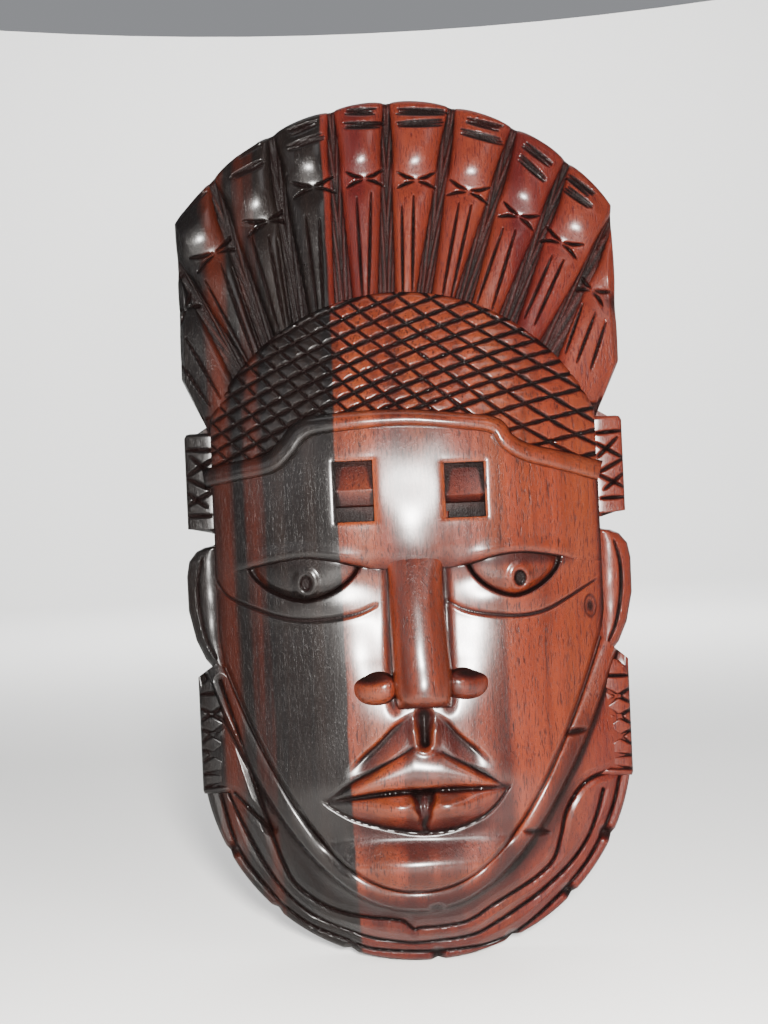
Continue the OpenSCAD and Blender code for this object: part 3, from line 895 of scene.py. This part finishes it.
# Short nicks across the jaw band, then nicks in the rim as a point and the way they run in
NOTCHES = [((61.5, 89.4), (72, 91)), ((43, 50.6), (54.5, 49.6)), ((3, 20.8), (10.5, 21.6))]
RIM_NOTCHES = [(6.5, -1, 0, 1), (38.4, 5.0, -0.4, 0.9), (63, 23.5, -0.7, 0.7), (79.5, 47.5, -0.9, 0.4),
               (-30, 2.6, 0.35, 0.9), (-60, 21, 0.7, 0.7), (-77.5, 47, 0.9, 0.4)]


def u_outline(count):
    """Points down the left side, round the chin and up the right side, evenly spaced."""
    turn = np.linspace(-math.pi / 2, math.pi / 2, 181)
    arc = np.stack([CHIN_R * np.sin(turn), CHIN_R - CHIN_R * np.cos(turn)], axis=-1)
    line = np.concatenate([[[-CHIN_R, COLLAR_TOP]], arc, [[CHIN_R, COLLAR_TOP]]]) + [AXIS_X, 0]
    return spaced(line, count)[1:]


def collar():
    """Collar under the jaw: a band beside the face, a valley, then rope rounds between V cuts."""
    rows, cols = lattice_shape(108, 744)
    ox, oz = u_outline(cols)
    jx = np.linspace(-75, 77, 2000)
    _, ix, iz = spaced(np.stack([jx, jaw_line(jx) + 2.6], axis=-1), cols)
    t = np.linspace(0, 1, rows)[:, None]
    x, z = ix + (ox - ix) * t, iz + (oz - iz) * t
    wide = np.hypot(ox - ix, oz - iz)
    away = t * wide - 2.0
    edge_h = face_height(ix, iz)
    rope = fade(((away - 3.9) / 4.1) ** 2)
    band = edge_h - 3.4 + 2.6 * rope**0.35
    rest = np.clip((away - 9) / np.maximum(wide - 11, 1), 0, 1)
    ropes = (edge_h - 8.2) + (17.2 - edge_h + 8.2) * rest**0.85
    h = band + (ropes - band) * ramp(6.6, 9.2, away)
    cut = 0.85 * fade(np.abs(away + 0.4) / 0.9) + 0.7 * fade(np.abs(away - 8.6) / 1.6)
    cut = np.maximum(cut, 0.62 * dip(h, x, z, smooth_line(VALLEY_LINE), 4.6, 2.6) ** 0.7)
    for line in ROPE_LINES:
        curve = smooth_line(line)
        gouge(h, None, x, z, curve, 6.8, 2.1, leaf=0.1)
        gouge(h, cut, x, z, curve, 2.2, 1.1, leaf=0.1)
    for line in NOTCHES:
        gouge(h, cut, x, z, line, 4.0, 2.0, leaf=0.9)
    for nx, nz, dx, dz in RIM_NOTCHES:
        gouge(h, cut, x, z, [(nx - dx, nz - dz), (nx + 3 * dx, nz + 3 * dz)], 7.0, 4.0)
    h += 0.12 * facets(x, z, 8, 22)
    h -= arris((1 - t) * wide, 2.0, 1.96)
    return wooden(tile("collar", x, z, h, under(x, z), cut))


# ---------------------------------------------------------------- side blocks and ears

# Each kind of side piece: bottom, top, height at its edges, crown, and its cuts on the right-hand one
SIDES = {
    "upper_block": (177.0, 217.9, 17.5, 0.7, [
        ((80, 211), (90.5, 211.6)), ((81, 184.4), (90.5, 184.6)), ((80, 206.8), (90.5, 200.6)),
        ((80.5, 195), (90.5, 200.2)), ((80.5, 194), (90.5, 188.6)), ((82.5, 188), (90.5, 194.4)),
        ((80.5, 201.5), (88.5, 209)),
    ]),
    "ear": (122.0, 171.9, 18.0, 3.0, [((85.4, 167), (87.4, 158), (87.2, 146), (84.8, 134), (81.5, 126.5))]),
    "lower_block": (71.5, 119.8, 18.5, 1.4, [
        ((79, 112.2), (88.5, 112)), ((75, 80), (90, 79.6)), ((74, 75.4), (90, 74)),
        ((78.5, 100.2), (90, 107.4)), ((76.5, 91), (90, 98.8)), ((76, 83), (90, 90.4)),
        ((79, 106.8), (89, 101)), ((78.5, 99.4), (89, 92.4)), ((78.5, 91.4), (89, 84)),
    ]),
}


def side_piece(kind, side):
    """Block or ear beside the face: a crowned strip between the face and the outline, with its cuts."""
    low, high, rise, crown, lines = SIDES[kind]
    v, u = lattice((high - low) * 3.2, 42)
    z = low + (high - low) * v
    inner = 73.0 if kind == "lower_block" else 77.0
    wide = AXIS_X + half_width(z) - inner
    x = inner + wide * u
    h = rise + crown * np.clip(np.sin(np.pi * u), 0, 1) ** 0.8 + 0.12 * facets(x, z, 6, 40 + int(low))
    cut = np.zeros_like(h)
    for line in lines:
        curve = smooth_line(line) if len(line) > 2 else line
        gouge(h, cut, x, z, curve, 2.4, 1.5, leaf=0.35)
    h -= arris(np.minimum((high - low) * np.minimum(v, 1 - v), (1 - u) * wide), 1.5, 1.48)
    if SIDE_NAMES[side] == "left":
        x = 2 * AXIS_X - x
    return wooden(tile(f"{kind}_{SIDE_NAMES[side]}", x, z, h, under(x, z), cut))


# ---------------------------------------------------------------- back

# Back: room round the hanger, half width of its even columns, and the broken edge's height and width
POCKET_ROOM, EVEN_HALF, BREAK, RIM_WIDTH = 3.0, 64, 0.9, 26


def back():
    """Back of the block: a flat plate with a hollow, a recess for the hanger and a broken outer edge."""
    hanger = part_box("hanger_ring")
    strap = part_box("hanger_strap")
    pocket_half = hanger[1][0] / MM + POCKET_ROOM
    pocket_low = (strap[0][2] - BASE_Z) / MM - POCKET_ROOM
    pocket_top = (hanger[1][2] - BASE_Z) / MM + POCKET_ROOM
    floor = -strap[0][1] / MM
    rows, cols = lattice_shape(390, 168)
    down = snapped(np.linspace(0.35, TOP_Z - 0.12, rows), [pocket_low, pocket_top])
    inner = snapped(np.linspace(-1, 1, cols - 24) * EVEN_HALF, [-pocket_half, pocket_half])
    half = half_width(down)[:, None]
    squeeze = np.minimum(1, half / 76)
    share = np.linspace(0, 1, 12)
    share = np.append(share[1:-1], [1 - BREAK / RIM_WIDTH, 1])
    outer = EVEN_HALF * squeeze + (half - EVEN_HALF * squeeze) * share
    own = np.concatenate([-outer[:, ::-1], inner * squeeze, outer], axis=1)
    x = own + AXIS_X
    z = np.broadcast_to(down[:, None], x.shape).copy()
    h = hollow_height(x, z)
    marks = 0.5 * facets(x, z, 6.5, 51) + 0.25 * facets(x, z, 4, 52)
    marks = marks * ramp(1, 8, h)
    h += marks
    inside = (np.abs(own) < pocket_half) & (z > pocket_low) & (z < pocket_top)
    h = np.where(inside, floor, h)
    cut = np.where(inside, 0.25, 0.0)
    edge = np.zeros_like(h)
    edge[:, [0, -1]] = BREAK
    edge[[0, -1], :] = BREAK
    h = np.maximum(h, edge)
    shell = np.maximum(PLATE_H, hollow_height(x, z, 4) + 3.0)
    return wooden(tile("hollow_back", x, z, h, shell, cut, -marks))


# ---------------------------------------------------------------- shader expressions

class Value:
    """A shader socket that takes part in arithmetic; each operation adds a Math node."""

    def __init__(self, graph, socket):
        self.graph, self.socket = graph, socket

    def _math(self, operation, *others, clamp=False):
        return self.graph.math(operation, self, *others, clamp=clamp)

    def __add__(self, other):
        return self._math("ADD", other)

    __radd__ = __add__

    def __sub__(self, other):
        return self._math("SUBTRACT", other)

    def __rsub__(self, other):
        return self.graph.math("SUBTRACT", other, self)

    def __mul__(self, other):
        return self._math("MULTIPLY", other)

    __rmul__ = __mul__

    def __neg__(self):
        return self * -1.0

    def step(self, low, high):
        """Smooth step from 0 at low to 1 at high."""
        node = self.graph.add("ShaderNodeMapRange", {"interpolation_type": "SMOOTHSTEP", "clamp": True},
                              {"Value": self, "From Min": low, "From Max": high})
        return node["Result"]

    def clamp(self):
        return self._math("ADD", 0.0, clamp=True)


class Graph:
    """Node tree of one material, with one method that adds any node."""

    def __init__(self, name):
        self.material = bpy.data.materials.new(name)
        self.material.use_nodes = True
        self.nodes = self.material.node_tree.nodes
        self.links = self.material.node_tree.links
        self.nodes.clear()

    def put(self, socket, value):
        """Links a value to a socket, or sets the socket to a constant."""
        if isinstance(value, Value):
            self.links.new(value.socket, socket)
        elif value is not None:
            socket.default_value = value

    def add(self, kind, settings=None, inputs=None):
        """Adds a node, sets its settings, fills or links its sockets, and returns its outputs by name."""
        node = self.nodes.new(kind)
        for key, value in (settings or {}).items():
            setattr(node, key, value)
        for key, value in (inputs or {}).items():
            self.put(node.inputs[key], value)
        return {s.name: Value(self, s) for s in node.outputs if s.enabled}

    def math(self, operation, *values, clamp=False):
        settings = {"operation": operation, "use_clamp": clamp}
        return self.add("ShaderNodeMath", settings, dict(enumerate(values)))["Value"]

    def mix(self, share, a, b):
        """Mixes two colours by a share from 0 to 1; sockets 6 and 7 are the node's two colours."""
        a, b = (c if isinstance(c, Value) else (*c, 1) for c in (a, b))
        return self.add("ShaderNodeMix", {"data_type": "RGBA"}, {"Factor": share, 6: a, 7: b})["Result"]

    def noise(self, vector, scale, detail=3.0, rough=0.55):
        """Cloud noise of a given scale in cycles a metre."""
        inputs = {"Vector": vector, "Scale": scale, "Detail": detail, "Roughness": rough}
        return self.add("ShaderNodeTexNoise", {}, inputs)["Fac"]

    def stretched(self, vector, stretch, shift=(0, 0, 0)):
        """The same place scaled by axis; a small share draws the noise out along that axis."""
        inputs = {"Vector": vector, "Scale": stretch, "Location": shift}
        return self.add("ShaderNodeMapping", {}, inputs)["Vector"]

    def place(self):
        """Object coordinates, and their X, Y and Z in millimetres."""
        vector = self.add("ShaderNodeTexCoord")["Object"]
        parts = self.add("ShaderNodeSeparateXYZ", {}, {"Vector": vector})
        return vector, *(parts[axis] * 1000.0 for axis in "XYZ")

    def bump(self, height, distance, strength=1.0, normal=None):
        inputs = {"Height": height, "Distance": distance, "Strength": strength, "Normal": normal}
        return self.add("ShaderNodeBump", {}, inputs)["Normal"]

    def surface(self, **sockets):
        """Principled surface; keyword names are its sockets with underscores for spaces."""
        inputs = {key.replace("_", " "): value for key, value in sockets.items()}
        shader = self.add("ShaderNodeBsdfPrincipled", {}, inputs)["BSDF"]
        self.add("ShaderNodeOutputMaterial", {}, {"Surface": shader})
        return self.material


def colour(value):
    """A colour property as three plain numbers."""
    return tuple(value)[:3]


def wood_material():
    """Varnished two-tone wood: an upright boundary parts near-black from red-brown, both with pores."""
    name = "varnished_two_tone_wood"
    if name in bpy.data.materials:
        return bpy.data.materials[name]
    look = finish()
    g = Graph(name)
    at, x, y, z = g.place()
    slow = g.noise(g.stretched(at, (1.0, 0.6, 0.05)), 38.0, 2.0)
    fine = g.noise(g.stretched(at, (1.0, 1.0, 0.06)), 420.0, 3.0, 0.6)
    band = g.noise(g.stretched(at, (1.0, 0.35, 0.03)), 95.0, 3.0, 0.6)
    # The cut mark carries groove stain and painted shade in hollows, creases and under overhangs; below
    # nought it is wear on ridges
    marked = g.add("ShaderNodeAttribute", {"attribute_name": "cut"})["Fac"]
    cut, worn = marked.clamp(), (marked * -1.0).clamp()
    pores = g.noise(g.stretched(at, (1.0, 1.0, 0.13)), 2100.0, 1.0, 0.5).step(0.57, 0.68)
    flecks = g.noise(g.stretched(at, (1.0, 1.0, 0.10), (0.3, 0, 0)), 1150.0, 2.0, 0.6).step(0.58, 0.68)
    wander = g.noise(g.stretched(at, (0.2, 0.6, 1.0)), 16.0, 2.0) * 3.0 + fine * 0.9

    red = g.mix(band.step(0.34, 0.66), colour(look.red_dark), colour(look.red_light))
    red = g.mix(slow.step(0.42, 0.72) * 0.75, red, colour(look.red_orange))
    shade = g.noise(g.stretched(at, (1.0, 1.0, 0.5), (0, 0, 0.4)), 22.0, 2.0).step(0.5, 0.75)
    red = g.mix(shade * 0.6, red, colour(look.red_dark))
    red = g.mix(fine.step(0.35, 0.8) * 0.3, red, colour(look.red_dark))
    red = g.mix(worn * 0.5, red, colour(look.red_orange))
    red = g.mix((pores * 0.75 + flecks * 0.75).clamp(), red, colour(look.red_deep))
    black = g.mix(band.step(0.35, 0.8) * 0.8, colour(look.black), colour(look.black_brown))
    px = x + (wander + slow * 5.0)
    wide_streak = px.step(-78.5, -74.5) * (1 - px.step(-66.5, -63.0))
    thin_streak = px.step(-60.5, -58.0) * (1 - px.step(-53.0, -50.5))
    streaks = wide_streak + thin_streak * 0.8
    streaks = (streaks * band.step(0.32, 0.6) * (0.45 + 0.75 * fine)).clamp()
    black = g.mix(streaks, black, colour(look.streak))
    side = (x - wander + 1.6 + z * 0.006).step(-27.9, -26.9)
    base = g.mix(side, black, red)
    aged = g.noise(at, 60.0, 2.0).step(0.35, 0.7)
    depth = (-y).step(16.0, 38.0)
    base = g.mix((1 - depth) * side * 0.6, base, colour(look.maroon))
    # Painted shade and stain round the cuts and in hollows, on the red side
    base = g.mix(cut.step(0.0, 0.55) * side * 0.8, base, colour(look.shade_and_stain))
    # Darkest in the cuts: groove stain, and painted shade in the deepest recesses
    base = g.mix((cut.step(0.3, 1.0) * (0.85 + 0.4 * aged)).clamp(), base, colour(look.groove))

    dust = g.noise(at, 900.0, 2.0, 0.7).step(0.5, 0.75)
    roughness = 0.24 + 0.10 * slow + cut * (0.16 + 0.2 * dust) + pores * 0.12 + 0.06 * aged
    coat = (0.42 - 0.34 * cut) * (0.45 + 0.55 * depth)
    ripple = g.noise(g.stretched(at, (1.0, 1.0, 0.25)), 55.0, 2.0)
    grit = g.noise(at, 1400.0, 2.0, 0.6)
    normal = g.bump(0.6 * fine - 0.45 * pores - 0.4 * flecks + 0.35 * dust + cut * grit * 2.2, 0.00022, 0.9)
    normal = g.bump(ripple, 0.0006, 0.35, normal)
    return g.surface(
        Base_Color=base, Roughness=roughness, Normal=normal, Coat_Weight=coat, Coat_Roughness=0.23,
        Coat_IOR=1.5, Specular_IOR_Level=0.06,
    )


def metal_material(name, tint, rough, spots):
    """Plated metal: cloudy tint, fine scratches and darker worn spots."""
    g = Graph(name)
    at, *_ = g.place()
    cloud = g.noise(at, 180.0, 3.0, 0.6)
    scratch = g.noise(g.stretched(at, (1.0, 0.15, 1.0)), 2600.0, 2.0, 0.6)
    worn = g.noise(at, 420.0, 4.0, 0.65).step(0.52, 0.68) * spots
    base = g.mix(worn, g.mix(cloud, tuple(0.82 * c for c in tint), tint), tuple(0.3 * c for c in tint))
    normal = g.bump(scratch + cloud, 0.00004, 0.6)
    roughness = rough + 0.2 * worn + 0.12 * cloud
    return g.surface(Base_Color=base, Metallic=1.0, Roughness=roughness, Normal=normal)


# ---------------------------------------------------------------- properties, operators and panel

def tint(name, text, value):
    return FloatVectorProperty(
        name=name, description=text, default=value, subtype="COLOR", size=3, min=0, max=1,
    )


def length(name, text, value, low, high):
    return FloatProperty(
        name=name, description=text, default=value, min=low, max=high, precision=4, unit="LENGTH",
    )


class MaskCarving(PropertyGroup):
    """Driving sizes of the carving"""
    rib_rise: length("Rib rise", "Height of a crest rib above its valleys", 0.0052, 0.002, 0.007)
    net_step: length("Net step", "Distance between the falling cuts of the net", 0.0094, 0.006, 0.014)
    net_depth: length("Net depth", "Depth of the net's cuts", 0.0015, 0.0005, 0.0025)
    band_rise: length("Band rise", "Height of the brow band above the forehead", 0.0052, 0.002, 0.007)


class MaskFinish(PropertyGroup):
    """Colours of the two woods, their staining and painted shade, and the studio"""
    red_light: tint("Light red", "Lighter rings of the red-brown wood", (0.068, 0.0108, 0.0042))
    red_dark: tint("Dark red", "Darker rings of the red-brown wood", (0.0165, 0.0025, 0.0015))
    red_orange: tint("Orange", "Orange clouds in the red-brown wood", (0.092, 0.0190, 0.0053))
    red_deep: tint("Deep red", "Pores of the red-brown wood", (0.009, 0.0018, 0.0012))
    maroon: tint("Maroon", "Tint of the lower ground", (0.030, 0.0034, 0.0040))
    black: tint("Black", "Near-black wood", (0.0022, 0.0018, 0.0018))
    black_brown: tint("Black brown", "Browner rings of the near-black wood", (0.007, 0.0042, 0.0034))
    streak: tint("Streak", "Rust streaks in the near-black wood", (0.019, 0.0034, 0.0017))
    # Painted shade round the cuts and in hollows, mixed with the stain that pools there
    shade_and_stain: tint("Stain", "Dark red stain that pools round the cuts", (0.013, 0.0020, 0.0019))
    # Groove stain, and painted shade in the deepest recesses
    groove: tint("Groove", "Stain in the cuts", (0.0030, 0.0013, 0.0012))
    floor: tint("Floor", "Studio floor", (0.88, 0.875, 0.86))


class MASK_OT_crest(Operator):
    """Ten ribs of the crest"""
    bl_idname = "mask.crest"
    bl_label = "Carve Crest"

    def execute(self, context):
        for i in range(len(RIB_MARKS)):
            rib(i)
        return {"FINISHED"}


class MASK_OT_cap(Operator):
    """Net cap and brow band"""
    bl_idname = "mask.cap"
    bl_label = "Carve Cap"

    def execute(self, context):
        net_cap()
        brow_band()
        return {"FINISHED"}


class MASK_OT_face(Operator):
    """Forehead, face, nose and eyes"""
    bl_idname = "mask.face"
    bl_label = "Carve Face"

    def execute(self, context):
        forehead()
        face()
        nose()
        for side in (0, 1):
            eye(side)
            nose_wing(side)
        return {"FINISHED"}


class MASK_OT_collar(Operator):
    """Jaw band and rope collar"""
    bl_idname = "mask.collar"
    bl_label = "Carve Collar"

    def execute(self, context):
        collar()
        return {"FINISHED"}


class MASK_OT_sides(Operator):
    """Side blocks and ears"""
    bl_idname = "mask.sides"
    bl_label = "Carve Sides"

    def execute(self, context):
        for kind in SIDES:
            for side in (0, 1):
                side_piece(kind, side)
        return {"FINISHED"}


class MASK_OT_back(Operator):
    """Hollowed back"""
    bl_idname = "mask.back"
    bl_label = "Hollow Back"

    def execute(self, context):
        back()
        return {"FINISHED"}


class MASK_OT_hanger(Operator):
    """Finishes of the hanger's strap, ring and screws"""
    bl_idname = "mask.hanger"
    bl_label = "Finish Hanger"

    def execute(self, context):
        looks = {
            "hanger_strap": metal_material("zinc_plated_sheet", (0.62, 0.61, 0.58), 0.34, 0.5),
            "hanger_ring": metal_material("nickel_plated_wire", (0.66, 0.64, 0.60), 0.22, 0.3),
            "hanger_screws": metal_material("worn_brass", (0.68, 0.48, 0.22), 0.30, 0.6),
        }
        for node, material in looks.items():
            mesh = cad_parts[node].data
            mesh.materials.clear()
            mesh.materials.append(material)
        return {"FINISHED"}


class MASK_OT_stage(Operator):
    """Floor, lights and camera"""
    bl_idname = "mask.stage"
    bl_label = "Set Stage"

    def execute(self, context):
        stage(context)
        return {"FINISHED"}


class MASK_PT_panel(Panel):
    bl_label = "Mask"
    bl_idname = "MASK_PT_panel"
    bl_space_type = "VIEW_3D"
    bl_region_type = "UI"
    bl_category = "Mask"

    def draw(self, context):
        for group in (context.scene.mask_carving, context.scene.mask_finish):
            for key in group.__annotations__:
                self.layout.prop(group, key)
        for operator in OPERATORS:
            self.layout.operator(operator.bl_idname)


# ---------------------------------------------------------------- stage

# Camera: sensor height and lens, sideways shift as a share of the frame, and roll in degrees
SENSOR_MM, LENS_MM, SHIFT_X, ROLL_DEG = 36, 48.4, 0.002, 2.55
EYE = ((READ_X - AXIS_X) * MM, -(READ_D + SHEET_H) * MM, BASE_Z + READ_Z * MM)
MIDDLE = (0, -0.03, BASE_Z + 0.18)
# Lights: place, aim, size across in metres, power in watts, colour
LIGHTS = {
    "lens_lamp": ((EYE[0] + 0.035, EYE[1] - 0.01, EYE[2] + 0.03), MIDDLE, 0.055, 23, (1.0, 0.97, 0.93)),
    "key_soft": ((0.9, -1.3, BASE_Z + 1.2), MIDDLE, 0.7, 9, (1, 1, 1)),
    "fill_soft": ((-1.2, -1.0, BASE_Z + 0.7), MIDDLE, 1.2, 5, (0.95, 0.97, 1.0)),
    "top_soft": ((0, 0.3, BASE_Z + 1.7), MIDDLE, 1.4, 12, (1, 1, 1)),
    "back_soft": ((0.5, 1.4, BASE_Z + 1.0), MIDDLE, 1.0, 10, (1, 1, 1)),
    "backdrop_soft": ((0, 1.5, BASE_Z + 1.6), (0, 3.4, BASE_Z + 0.4), 1.6, 90, (1, 1, 1)),
}


def floor_bowl():
    """Round floor whose rim sweeps up into a backdrop on all sides: a profile turned about the Z axis."""
    flat, bend, tall = 2.6, 0.9, 1.6
    turn = np.linspace(0, math.pi / 2, 16)
    r = np.concatenate([[0.02, 0.6, 1.4], flat + bend * np.sin(turn), [flat + bend]])
    z = np.concatenate([[0, 0, 0], bend - bend * np.cos(turn), [tall]]) + BASE_Z - 0.0004
    a = np.linspace(0, 2 * math.pi, 129)[:-1, None]
    points = np.stack([r * np.cos(a), r * np.sin(a), z + 0 * a], axis=-1)
    index = np.arange(points.shape[0] * points.shape[1]).reshape(points.shape[:2])
    index = np.concatenate([index, index[:1]])
    obj = new_mesh("studio_floor", points, [quads(index)[:, ::-1], index[:-1, 0][None, :]])
    g = Graph("studio_paper")
    at, *_ = g.place()
    cloud = g.noise(at, 3.0, 2.0)
    base = g.mix(cloud * 0.25, colour(finish().floor), tuple(0.94 * c for c in finish().floor))
    obj.data.materials.append(g.surface(Base_Color=base, Roughness=0.7, Specular_IOR_Level=0.25))


def area_light(name, at, aim, size, power, shade):
    """Round soft light that faces its aim."""
    data = bpy.data.lights.new(name, "AREA")
    data.shape, data.size, data.energy, data.color = "DISK", size, power, shade
    obj = bpy.data.objects.new(name, data)
    obj.location = at
    obj.rotation_euler = Vector(np.array(aim) - np.array(at)).to_track_quat("-Z", "Y").to_euler()
    bpy.context.scene.collection.objects.link(obj)


def stage(context):
    """Pale floor, a small lamp beside the lens for the varnish, and soft fill from all round."""
    floor_bowl()
    for name, settings in LIGHTS.items():
        area_light(name, *settings)
    world = bpy.data.worlds.new("studio_air")
    world.use_nodes = True
    air = world.node_tree.nodes["Background"].inputs
    air["Color"].default_value = (0.93, 0.95, 1.0, 1)
    air["Strength"].default_value = 0.3
    context.scene.world = world
    data = bpy.data.cameras.new("camera")
    data.sensor_fit, data.sensor_height, data.lens = "VERTICAL", SENSOR_MM, LENS_MM
    data.shift_x = SHIFT_X
    camera = bpy.data.objects.new("camera", data)
    camera.location = EYE
    camera.rotation_euler = (math.pi / 2, math.radians(ROLL_DEG), 0)
    context.scene.collection.objects.link(camera)
    context.scene.camera = camera


OPERATORS = (
    MASK_OT_crest, MASK_OT_cap, MASK_OT_face, MASK_OT_collar, MASK_OT_sides, MASK_OT_back, MASK_OT_hanger,
    MASK_OT_stage,
)
CLASSES = (MaskCarving, MaskFinish, *OPERATORS, MASK_PT_panel)


def register():
    for cls in CLASSES:
        bpy.utils.register_class(cls)
    bpy.types.Scene.mask_carving = PointerProperty(type=MaskCarving)
    bpy.types.Scene.mask_finish = PointerProperty(type=MaskFinish)


def unregister():
    del bpy.types.Scene.mask_finish
    del bpy.types.Scene.mask_carving
    for cls in reversed(CLASSES):
        bpy.utils.unregister_class(cls)


def main():
    register()
    bpy.ops.mask.crest()
    bpy.ops.mask.cap()
    bpy.ops.mask.face()
    bpy.ops.mask.collar()
    bpy.ops.mask.sides()
    bpy.ops.mask.back()
    bpy.ops.mask.hanger()
    bpy.ops.mask.stage()


if __name__ == "__main__":
    main()
